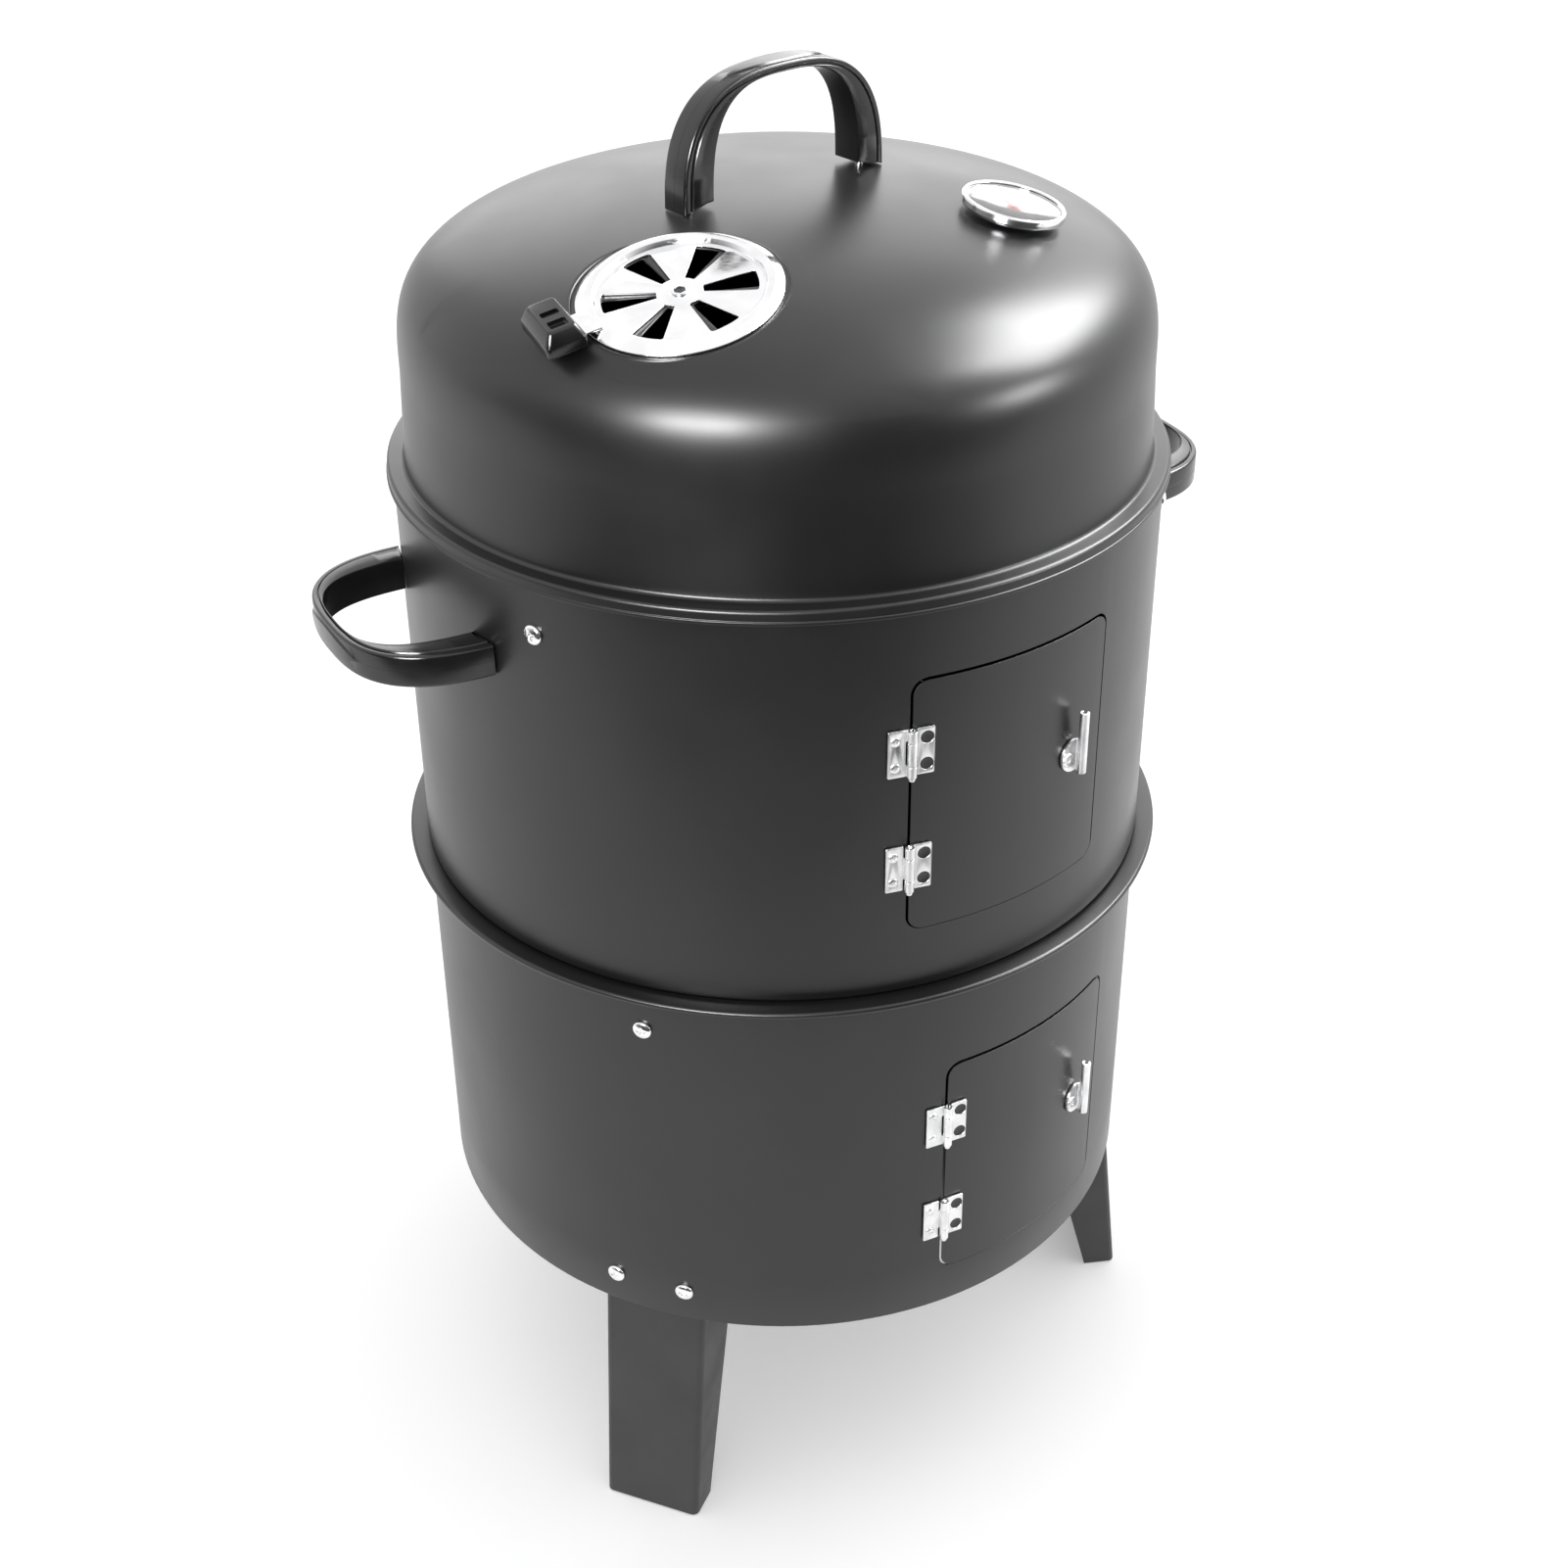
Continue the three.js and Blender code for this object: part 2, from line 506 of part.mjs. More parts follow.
/** Ledge behind each leg that carries the charcoal bowl, held by the leg's two screws. */
function charcoalBracket() {
  const back = LEG_FACE_RADIUS - LEG_SHEET - GAP;
  const profile = [
    [back, LEG_SCREW_Z - 8], [back, CHARCOAL_BEARING], [CHARCOAL_LEDGE_REACH, CHARCOAL_BEARING],
    [CHARCOAL_LEDGE_REACH, CHARCOAL_BEARING - BRACKET_SHEET],
    [back - BRACKET_SHEET, CHARCOAL_BEARING - BRACKET_SHEET],
    [back - BRACKET_SHEET, LEG_SCREW_Z - 8],
  ];
  const holes = [-1, 1].map((side) =>
    radialBar(SCREW_HOLE_RADIUS, 180, 200, side * LEG_SCREW_SPREAD, LEG_SCREW_Z));
  const half = CHARCOAL_LEDGE_WIDTH / 2;
  return cut(acrossWall(plate(profile, -half, half)), ...holes);
}

/** Bracket on the chamber wall with one ledge for each [inner radius, bearing height] pair. */
function wallBracket(screwZ, low, high, ledges) {
  const half = BRACKET_WIDTH / 2;
  const back = box(-half, half, -BRACKET_RADIUS, -BRACKET_RADIUS + BRACKET_SHEET, low, high);
  const shelves = ledges.map(([reach, bearing]) =>
    box(-half, half, -BRACKET_RADIUS, -reach, bearing - BRACKET_SHEET, bearing));
  const screw = wallScrew(0, screwZ, BRACKET_RADIUS - BRACKET_SHEET - 4);
  return join(back, ...shelves, screw);
}

const lowerBracket = () => wallBracket(
  LOWER_BRACKET_SCREW_Z, WATER_BOWL_BEARING - BRACKET_SHEET, GRATE_BEARING_LOWER,
  [[GRATE_LEDGE_REACH, GRATE_BEARING_LOWER], [WATER_LEDGE_REACH, WATER_BOWL_BEARING]]);

const upperBracket = () => wallBracket(
  UPPER_BRACKET_SCREW_Z, GRATE_BEARING_UPPER - BRACKET_SHEET, UPPER_BRACKET_SCREW_Z + 8,
  [[GRATE_LEDGE_REACH, GRATE_BEARING_UPPER]]);

// ---------------------------------------------------------------- bowls and grates

/** Pressed bowl: flat bottom, tapered wall and a flat flange round the rim. */
function bowl(bottom, { floorRadius, wallRadius, rimRadius, depth }) {
  const rim = bottom + depth;
  return turned([
    [0, bottom], [floorRadius - 6, bottom], [floorRadius, bottom + 5],
    [wallRadius, rim - SHEET], [rimRadius, rim - SHEET], [rimRadius, rim],
    [wallRadius - SHEET, rim], [floorRadius - SHEET, bottom + 5 + SHEET],
    [floorRadius - 6 - SHEET, bottom + SHEET], [0, bottom + SHEET],
  ], BOWL_SIDES);
}

/** Round wire grate: outer ring, parallel rods and two rods across them underneath. */
function grate(radius, bearing) {
  const top = bearing + GRATE_RING + 1;
  const inner = radius - GRATE_RING;
  const half = GRATE_ROD / 2;
  const middle = radius - GRATE_RING / 2;
  const ring = turned([
    [inner, bearing], [radius, bearing], [radius, top], [inner, top], [inner, bearing],
  ], BOWL_SIDES);
  const rods = [];
  const count = Math.floor((radius - 10) / GRATE_PITCH);
  for (let index = -count; index <= count; index += 1) {
    const x = index * GRATE_PITCH;
    const reach = Math.sqrt(middle ** 2 - x * x);
    rods.push(box(x - half, x + half, -reach, reach, top - GRATE_ROD, top - 0.2));
  }
  for (const side of [-1, 1]) {
    const y = side * radius * 0.42;
    const reach = Math.sqrt(middle ** 2 - y * y);
    rods.push(box(-reach, reach, y - half, y + half, top - 1.5 * GRATE_ROD, top - 2));
  }
  return join(ring, ...rods);
}

// ---------------------------------------------------------------- lid

/** Points of the dome's section, [radius, z] from the shoulder to the crown, set in by an inset. */
function domeSection(inset) {
  const points = [];
  for (let step = 0; step <= DOME_STEPS; step += 1) {
    const turn = (step / DOME_STEPS) * Math.PI / 2;
    const radius = (LID_SHOULDER_RADIUS - inset)
      * Math.max(Math.cos(turn), 0) ** (2 / DOME_RADIUS_POWER);
    const height = (LID_DOME_HEIGHT - inset) * Math.sin(turn) ** (2 / DOME_HEIGHT_POWER);
    points.push([step === DOME_STEPS ? 0 : radius, LID_BASE + LID_SHOULDER_HEIGHT + height]);
  }
  return points;
}

/** Presses the vent's flat seat into a dome: filled up where it is low, sunk where it is high. */
function withVentSeat(dome, inset) {
  const face = VENT_SEAT_LIFT - inset;
  const raised = turned([
    [0, -VENT_SEAT_DEPTH], [VENT_SEAT_FOOT_RADIUS - inset, -VENT_SEAT_DEPTH],
    [VENT_SEAT_RADIUS - inset, face], [0, face],
  ], ROUND_SIDES).applyMatrix4(seatMatrix(VENT));
  const sunk = disc(VENT_SEAT_RADIUS + inset, face, VENT_SEAT_DEPTH, ROUND_SIDES)
    .applyMatrix4(seatMatrix(VENT));
  return cut(join(dome, raised), sunk);
}

/** Six wedge slots round an axis, as blocks from one height to another. */
function wedgeSlots(direction, low, high) {
  const half = radians(SLOT_ANGLE / 2);
  return Array.from({ length: SLOT_COUNT }, (_, index) => {
    const middle = radians(-direction - index * (360 / SLOT_COUNT));
    const shape = new THREE.Shape();
    shape.absarc(0, 0, SLOT_OUTER, middle - half, middle + half, false);
    shape.absarc(0, 0, SLOT_INNER, middle + half, middle - half, true);
    return plate(shape, low, high, 3);
  });
}

function lidShell() {
  const outside = turned([
    [0, LID_BASE], [LID_RIM_RADIUS, LID_BASE], [LID_RIM_RADIUS, LID_RIM_TOP - 1.5],
    [LID_RIM_RADIUS - 1.5, LID_RIM_TOP], [LID_WALL_RADIUS + 2, LID_RIM_TOP],
    [LID_WALL_RADIUS, LID_RIM_TOP + 2], ...domeSection(0),
  ], SIDES);
  const inside = turned([
    [0, LID_BASE - 5], [LID_RIM_RADIUS - SHEET, LID_BASE - 5],
    [LID_RIM_RADIUS - SHEET, LID_RIM_TOP - SHEET], [LID_WALL_RADIUS - SHEET, LID_RIM_TOP - SHEET],
    ...domeSection(SHEET),
  ], SIDES);
  const slots = wedgeSlots(LID_SLOT_DIRECTION, -12, 12)
    .map((slot) => slot.applyMatrix4(seatMatrix(VENT)));
  const rivetHole = disc(VENT_BORE_RADIUS, -12, 12).applyMatrix4(seatMatrix(VENT));
  const stemHole = disc(STEM_BORE_RADIUS, -12, 12).applyMatrix4(seatMatrix(THERMOMETER));
  const screwHoles = [-1, 1].map((side) =>
    disc(SCREW_HOLE_RADIUS, LID_BASE + 120, LID_BASE + 150)
      .translate(side * HANDLE_SCREW_SPREAD, 0, 0).rotateZ(radians(LID_HANDLE_AZIMUTH - 90)));
  return cut(
    withVentSeat(outside, 0), withVentSeat(inside, SHEET),
    ...slots, rivetHole, stemHole, ...screwHoles);
}

// ---------------------------------------------------------------- handles

/** Moulded arch handle, standing on its feet at z = 0, spanning x, with a blind hole in each foot. */
function archHandle() {
  const arc = (halfSpan, rise, power, from, to) => {
    const points = [];
    for (let step = 0; step <= HANDLE_STEPS; step += 1) {
      const turn = from + (to - from) * (step / HANDLE_STEPS);
      const x = Math.sign(Math.cos(turn)) * halfSpan * Math.abs(Math.cos(turn)) ** (2 / power);
      points.push([x, rise * Math.sin(turn) ** (2 / power)]);
    }
    return points;
  };
  const edge = 0.12;
  const outer = arc(HANDLE_HALF_SPAN, HANDLE_RISE, HANDLE_OUTER_POWER, 0, Math.PI);
  const inner = arc(
    HANDLE_INNER_HALF_SPAN, HANDLE_INNER_RISE, HANDLE_INNER_POWER, Math.PI - edge, edge);
  inner[0] = [-HANDLE_INNER_HALF_SPAN, HANDLE_FOOT_SLANT];
  inner[inner.length - 1] = [HANDLE_INNER_HALF_SPAN, HANDLE_FOOT_SLANT];
  const strap = plate([...outer, ...inner], -HANDLE_WIDTH / 2, HANDLE_WIDTH / 2)
    .rotateX(Math.PI / 2);
  const holes = [-1, 1].map((side) =>
    disc(2.6, -2, 12).translate(side * HANDLE_SCREW_SPREAD, 0, 0));
  return cut(strap, ...holes);
}

/** Screw from inside the shell up into a handle foot; the shell's inner face is at innerFace. */
const handleScrew = (innerFace) => turned([
  [0, innerFace - 2.4], [4.2, innerFace - 2.4], [4.8, innerFace], [2.2, innerFace],
  [2.2, 11], [0, 11],
]);

function sideHandle(side, azimuth) {
  const group = new THREE.Group();
  group.position.set(0, -SIDE_HANDLE_RADIUS, SIDE_HANDLE_Z);
  group.rotation.x = Math.PI / 2;
  const wallHere = Math.sqrt((WALL_RADIUS - SHEET) ** 2 - HANDLE_SCREW_SPREAD ** 2);
  const innerFace = wallHere - SIDE_HANDLE_RADIUS - 2;
  group.add(piece(`${side}_side_handle`, archHandle(), blackPlastic()));
  for (const [end, sign] of [['a', -1], ['b', 1]]) {
    const screw = piece(`${side}_side_handle_screw_${end}`, handleScrew(innerFace), chrome());
    screw.position.x = sign * HANDLE_SCREW_SPREAD;
    group.add(screw);
  }
  return atAzimuth(azimuth, group);
}

function lidHandle() {
  const group = new THREE.Group();
  group.position.z = LID_BASE + LID_HANDLE_BASE;
  group.add(piece('lid_handle', archHandle(), blackPlastic()));
  for (const [end, sign] of [['a', -1], ['b', 1]]) {
    const screw = piece(`lid_handle_screw_${end}`, handleScrew(LID_SCREW_FACE), chrome());
    screw.position.x = sign * HANDLE_SCREW_SPREAD;
    group.add(screw);
  }
  return atAzimuth(LID_HANDLE_AZIMUTH - 90, group);
}

// ---------------------------------------------------------------- vent damper

/** Pressed damper disc: flat slotted centre, raised ring, sloping edge, and a tab. */
function damperDisc() {
  const top = DAMPER_RING_HEIGHT + DAMPER_SHEET;
  const dish = turned([
    [0, 0], [39.5, 0], [41, DAMPER_RING_HEIGHT], [43, DAMPER_RING_HEIGHT],
    [VENT_RADIUS - 0.4, 0], [VENT_RADIUS, 0.7], [43.6, top], [40.4, top],
    [38.8, DAMPER_SHEET], [0, DAMPER_SHEET],
  ], ROUND_SIDES);
  const tabHigh = TAB_LOW + DAMPER_SHEET;
  const half = TAB_HALF_WIDTH;
  const tab = join(
    box(VENT_RADIUS - 6, VENT_RADIUS + TAB_REACH, -half, half, TAB_LOW, tabHigh),
    box(VENT_RADIUS - 6.8, VENT_RADIUS - 5, -half, half, DAMPER_RING_HEIGHT + 0.1, tabHigh),
  ).rotateZ(radians(-DAMPER_TAB_DIRECTION));
  const slots = wedgeSlots(DAMPER_SLOT_DIRECTION, -3, 6);
  return cut(join(dish, tab), ...slots, disc(VENT_BORE_RADIUS, -3, 6));
}

/** Plastic thumb grip pushed over the damper's tab; its upper half leans in on all four sides. */
function damperKnob() {
  const near = VENT_RADIUS + KNOB_GAP;
  const far = near + KNOB_DEPTH;
  const outline = (low, high) => [
    [low, KNOB_LOW], [high, KNOB_LOW], [high, KNOB_SHOULDER], [high - KNOB_LEAN, KNOB_HIGH],
    [low + KNOB_LEAN, KNOB_HIGH], [low, KNOB_SHOULDER],
  ];
  const fromSide = plate(outline(near, far), -KNOB_HALF_WIDTH, KNOB_HALF_WIDTH)
    .rotateX(Math.PI / 2);
  const fromAxis = plate(outline(-KNOB_HALF_WIDTH, KNOB_HALF_WIDTH), near, far)
    .rotateX(Math.PI / 2).rotateZ(Math.PI / 2);
  const recess = box(near + 6, far - 6, -9.5, 9.5, KNOB_HIGH - 2.5, KNOB_HIGH + 2);
  const half = TAB_HALF_WIDTH + GAP;
  const slot = box(near - 1, far - 1.8, -half, half, TAB_LOW - GAP, TAB_LOW + DAMPER_SHEET + GAP);
  return cut(common(fromSide, fromAxis), recess, slot).rotateZ(radians(-DAMPER_TAB_DIRECTION));
}

const ventRivet = () => turned([
  [0, -4.5], [4.5, -4.5], [4.5, -1.9], [2.2, -1.9], [2.2, 1.3], [4, 1.3], [3, 2.2], [0, 2.4],
]);

function vent() {
  return onLid(
    VENT, VENT_SEAT_LIFT + GAP,
    piece('vent_damper', damperDisc(), chrome()),
    piece('vent_damper_knob', damperKnob(), blackPlastic()),
    piece('vent_rivet', ventRivet(), chrome()),
  );
}

// ---------------------------------------------------------------- thermometer

function thermometer() {
  const backBore = STEM_NECK_RADIUS + 0.5;
  const thermometerCase = turned([
    [backBore, 0.6], [23, 0.6], [23, 1.6], [BEZEL_RADIUS, 2.2], [BEZEL_RADIUS, 6],
    [BEZEL_RADIUS - 0.7, 6.6], [BEZEL_BORE_RADIUS, 6.6], [BEZEL_BORE_RADIUS, 1.8],
    [backBore, 1.8], [backBore, 0.6],
  ], ROUND_SIDES);
  const dial = disc(DIAL_RADIUS, 2.4, 3, DIAL_SIDES);
  const pointer = join(box(-0.9, 0.9, -6, 17, 3.4, 3.9), disc(2.6, 3.4, 4.1))
    .rotateZ(radians(POINTER_COLD));
  const glass = disc(DIAL_RADIUS, 4.6, 5.6, DIAL_SIDES);
  const stem = turned([
    [0, -STEM_LENGTH], [STEM_RADIUS, -STEM_LENGTH], [STEM_RADIUS, -14],
    [STEM_NECK_RADIUS, -13], [STEM_NECK_RADIUS, 2], [0, 2],
  ]);
  const nutBore = STEM_NECK_RADIUS + 0.8;
  const nut = turned([
    [nutBore, -8.5], [8, -8.5], [8, -4.5], [nutBore, -4.5], [nutBore, -8.5],
  ], 6);
  return onLid(
    THERMOMETER, 0,
    piece('thermometer_case', thermometerCase, chrome()),
    piece('thermometer_dial', dial, dialFace()),
    piece('thermometer_pointer', pointer, redPaint()),
    piece('thermometer_glass', glass, clearGlass()),
    piece('thermometer_stem', stem, chrome()),
    piece('thermometer_nut', nut, zinc()),
  );
}

// ---------------------------------------------------------------- assembly

function base() {
  const group = new THREE.Group();
  group.add(piece('lower_chamber', lowerChamber(), enamel()));
  LEG_AZIMUTHS.forEach((azimuth, index) => {
    const name = LEG_NAMES[index];
    const shankEnd = LEG_FACE_RADIUS - LEG_SHEET - BRACKET_SHEET - 4;
    const screwAt = (x) => wallScrew(x, LEG_SCREW_Z, shankEnd);
    group.add(atAzimuth(
      azimuth,
      piece(`${name}_leg`, leg(), steelPaint()),
      piece(`${name}_leg_screw_a`, screwAt(-LEG_SCREW_SPREAD), chrome()),
      piece(`${name}_leg_screw_b`, screwAt(LEG_SCREW_SPREAD), chrome()),
      piece(`${name}_charcoal_bracket`, charcoalBracket(), zinc()),
    ));
  });
  LOWER_BRACKET_AZIMUTHS.forEach((azimuth, index) => {
    const name = `${LEG_NAMES[index]}_lower_grate_bracket`;
    group.add(atAzimuth(azimuth, piece(name, lowerBracket(), zinc())));
  });
  group.add(piece('lower_door', doorPanel(LOWER_DOOR), enamel()));
  group.add(hinges('lower', LOWER_DOOR), latch('lower', LOWER_DOOR));
  group.add(piece('charcoal_bowl', bowl(CHARCOAL_BEARING + GAP, CHARCOAL_BOWL), enamel()));
  const charcoalGrate = grate(CHARCOAL_GRATE_RADIUS, CHARCOAL_BEARING + CHARCOAL_GRATE_LIFT);
  group.add(piece('charcoal_grate', charcoalGrate, wire()));
  const waterBottom = WATER_BOWL_BEARING + GAP + SHEET - WATER_BOWL.depth;
  group.add(piece('water_bowl', bowl(waterBottom, WATER_BOWL), enamel()));
  group.add(piece('lower_cooking_grate', grate(GRATE_RADIUS, GRATE_BEARING_LOWER + GAP), wire()));
  return group;
}

function cookingSection() {
  const group = new THREE.Group();
  group.add(piece('upper_chamber', upperChamber(), enamel()));
  group.add(sideHandle('left', SIDE_HANDLE_AZIMUTHS[0]));
  group.add(sideHandle('right', SIDE_HANDLE_AZIMUTHS[1]));
  UPPER_BRACKET_AZIMUTHS.forEach((azimuth, index) => {
    const name = `${LEG_NAMES[index]}_upper_grate_bracket`;
    group.add(atAzimuth(azimuth, piece(name, upperBracket(), zinc())));
  });
  group.add(piece('upper_door', doorPanel(UPPER_DOOR), enamel()));
  group.add(hinges('upper', UPPER_DOOR), latch('upper', UPPER_DOOR));
  group.add(piece('upper_cooking_grate', grate(GRATE_RADIUS, GRATE_BEARING_UPPER + GAP), wire()));
  return group;
}

function lid() {
  const group = new THREE.Group();
  group.add(piece('lid_shell', lidShell(), enamel()));
  group.add(lidHandle(), vent(), thermometer());
  return group;
}

const smoker = new THREE.Group();
smoker.add(base(), cookingSection(), lid());

export default smoker;
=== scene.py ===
"""Looks of the vertical water smoker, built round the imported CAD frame.

Helpers take millimetres and turn them into metres where a mesh or a place is made. An azimuth is
an angle about +Z from the front (-Y), growing towards +X, in degrees.
"""

import json
import math

import bmesh
import bpy
from mathutils import Matrix, Vector
from mathutils.noise import noise


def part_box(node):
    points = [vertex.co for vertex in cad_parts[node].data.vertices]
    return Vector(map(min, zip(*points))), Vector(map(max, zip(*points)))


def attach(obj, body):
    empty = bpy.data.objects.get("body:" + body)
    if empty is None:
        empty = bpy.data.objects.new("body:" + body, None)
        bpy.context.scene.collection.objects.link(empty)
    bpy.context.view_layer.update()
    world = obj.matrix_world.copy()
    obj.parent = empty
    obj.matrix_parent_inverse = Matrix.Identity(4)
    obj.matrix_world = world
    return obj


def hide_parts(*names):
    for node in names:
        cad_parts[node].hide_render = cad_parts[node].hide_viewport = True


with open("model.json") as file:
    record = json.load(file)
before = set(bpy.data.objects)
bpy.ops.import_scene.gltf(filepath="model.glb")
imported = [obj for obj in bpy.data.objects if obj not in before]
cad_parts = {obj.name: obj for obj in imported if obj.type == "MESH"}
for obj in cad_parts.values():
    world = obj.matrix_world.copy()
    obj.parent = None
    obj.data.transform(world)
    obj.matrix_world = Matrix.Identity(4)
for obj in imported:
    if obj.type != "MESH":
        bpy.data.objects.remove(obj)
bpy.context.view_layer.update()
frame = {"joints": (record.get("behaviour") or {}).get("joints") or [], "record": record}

MM = 0.001
TAU = 2 * math.pi
LEG_NAMES = ("front", "right", "rear")

# --- sizes read from the frame


def low_z(node):
    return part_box(node)[0].z / MM


def high_z(node):
    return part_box(node)[1].z / MM


def half_width(node):
    low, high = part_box(node)
    return (high.x - low.x) / 2 / MM


def azimuth_of(point):
    return math.degrees(math.atan2(point[0], -point[1]))


JOINTS = {joint["name"]: joint for joint in frame["joints"]}
FEET = [mount["pos_m"] for mount in frame["record"]["mounts"]]

LEG_HEIGHT = low_z("lower_chamber")
LOWER_TOP = high_z("lower_chamber")
UPPER_LOW = low_z("upper_chamber")
UPPER_TOP = high_z("upper_chamber")
LID_BASE = low_z("lid_shell")
WALL = half_width("upper_chamber")
FLANGE = half_width("lower_chamber")
LID_RIM = half_width("lid_shell")
SHEET = 1.2
GAP = 0.3
UPPER_SEAT = LOWER_TOP + GAP
LID_RIM_TOP = UPPER_TOP + GAP + SHEET
LEG_AZIMUTHS = [azimuth_of(foot) for foot in FEET]

# legs: bent sheet whose flanges narrow from the wall down to the foot
LEG_SHEET = 1.5
LEG_BEND = 3.2
LEG_FACE = 196
LEG_FOOT = math.hypot(FEET[0][0], FEET[0][1]) / MM + LEG_SHEET / 2
LEG_HALF = 30
LEG_TOP = LEG_HEIGHT + 29.5
LEG_FLANGE_TOP = 42
LEG_FLANGE_FOOT = 20
LEG_SCREW_SPREAD = 20.3
LEG_SCREW_Z = LEG_HEIGHT + 19.8

# brackets and grates
BRACKET_SHEET = 2
BRACKET_WIDTH = 24
LEDGE_WIDTH = 52
GRATE_REACH = 178
BOWL_REACH = 167
GRATE_PITCH = 15.5

# lid: a slightly tapered wall, then a dome whose section is a superellipse
LID_WALL = 193.7
SHOULDER = 191.56
SHOULDER_Z = LID_BASE + 54.8
DOME_RISE = 85.8
RADIUS_POWER = 1.9165
HEIGHT_POWER = 3.7836

# doors, hinges and latches; the panel hangs a little low and to the right in its opening
DOOR_SPAN = 34.8
DOOR_HEIGHT = high_z("upper_door") - low_z("upper_door")
DOOR_HALF = WALL * math.sin(math.radians(DOOR_SPAN / 2))
DOOR_CORNER = 7.6
DOOR_GAP = 1.2
OPENING_GAP = 1.0
DOOR_DROP = 0.8
DOOR_SHIFT = 0.4
HINGE_SPREAD = 32.5
HINGE_HEIGHT = 25.4
LEAF_REACH = 11.8
LEAF_SHEET = 1.2
KNUCKLE = 2.4
HINGE_AXIS = WALL + GAP + KNUCKLE + 0.2
HOLE_OUT = 8
HOLE_RISES = (-7.2, 7.2)
TONGUE_OUT = 193.6

# handles: outer and inner superellipse of the arch, the band round it and the pad on its crown
HANDLE_WIDTH = 17.8
HANDLE_SPAN = 64.5
HANDLE_RISE = 63
HANDLE_POWER = 2.6
HANDLE_INNER_SPAN = 46
HANDLE_INNER_RISE = 57.6
HANDLE_INNER_POWER = 3
HANDLE_FOOT_SLANT = 5.2
HANDLE_SCREWS = 55
HANDLE_BAND = 4.4
PAD_HALF_WIDTH = 5.6
PAD_REACH = 33
PAD_RISE = 0.9
SIDE_HANDLES = {"left": -61.5, "right": 118.5}
SIDE_HANDLE_FOOT = 190.5
LID_HANDLE_TURN = 40
LID_SCREW_FACE = -1.7

# thermometer: heights over its seat, angles of the scale in degrees
THERMOMETER_LIFT = 0.8
DIAL_TOP = 3
DIAL_PRINT_Z = DIAL_TOP + 0.08
DIAL_START = 225
DIAL_SWEEP = 270
DIAL_TICKS = 30
DIAL_NUMBERS = 6

# vent: a sunk flat seat in the dome, six wedge slots in the lid and six in the damper over them
SEAT_LIFT = 1.5
SEAT_RADIUS = 50
SEAT_DRAFT = 2.2
SLOT_COUNT = 6
SLOT_ANGLE = 25
SLOT_INNER = 11
SLOT_OUTER = 36.3
LID_SLOT_TURN = 27
DAMPER_SLOT_TURN = 33
DAMPER_SHEET = 0.9
TAB_TURN = -132
TAB_Z = 3.95
KNOB_MIDDLE = 62.2
KNOB_DEPTH = 20
KNOB_WIDTH = 31
KNOB_LOW = 2.4
KNOB_SHOULDER = 8
KNOB_HIGH = 14.4

# --- outlines


def arc(centre, radius, start, end, steps):
    """Points round a centre, from one angle to another, in radians."""
    turns = [start + (end - start) * step / steps for step in range(steps + 1)]
    return [(centre[0] + radius * math.cos(a), centre[1] + radius * math.sin(a)) for a in turns]


def rounded(corners, steps=5, closed=True):
    """The outline through (x, y, corner radius) points, each corner turned into an arc."""
    points = []
    last = len(corners) - 1
    for index, (x, y, radius) in enumerate(corners):
        if radius == 0 or (not closed and index in (0, last)):
            points.append((x, y))
            continue
        here = Vector((x, y))
        back = (Vector(corners[index - 1][:2]) - here).normalized()
        ahead = (Vector(corners[(index + 1) % len(corners)][:2]) - here).normalized()
        half = math.acos(max(-1, min(1, back.dot(ahead)))) / 2
        centre = here + (back + ahead).normalized() * (radius / math.sin(half))
        start = here + back * (radius / math.tan(half)) - centre
        end = here + ahead * (radius / math.tan(half)) - centre
        first = math.atan2(start.y, start.x)
        turn = math.remainder(math.atan2(end.y, end.x) - first, TAU)
        points += arc(centre, radius, first, first + turn, steps)
    return points


def circle(radius, steps=32, centre=(0, 0)):
    return arc(centre, radius, 0, TAU, steps)[:-1]


def rounded_box(half_x, half_y, corner):
    """A rectangle round the origin with rounded corners."""
    return rounded([(-half_x, -half_y, corner), (half_x, -half_y, corner),
                    (half_x, half_y, corner), (-half_x, half_y, corner)])


# --- meshes


def mesh_piece(name, points, faces, finish, sharp=40):
    """An object from millimetre points and faces, smooth except over edges sharper than an angle."""
    mesh = bpy.data.meshes.new(name)
    mesh.from_pydata([Vector(point) * MM for point in points], [], faces)
    return mesh_object(name, mesh, finish, sharp)


def linked(name, data):
    """A new object in the scene."""
    obj = bpy.data.objects.new(name, data)
    bpy.context.scene.collection.objects.link(obj)
    return obj


def mesh_object(name, mesh, finish, sharp=40):
    """An object from a mesh, its doubled points joined and its faces turned outwards."""
    cleaned = bmesh.new()
    cleaned.from_mesh(mesh)
    bmesh.ops.remove_doubles(cleaned, verts=cleaned.verts, dist=1e-7)
    bmesh.ops.recalc_face_normals(cleaned, faces=cleaned.faces)
    cleaned.to_mesh(mesh)
    cleaned.free()
    mesh.materials.clear()
    mesh.materials.append(finish)
    mesh.shade_smooth()
    mesh.set_sharp_from_angle(angle=math.radians(sharp))
    return linked(name, mesh)


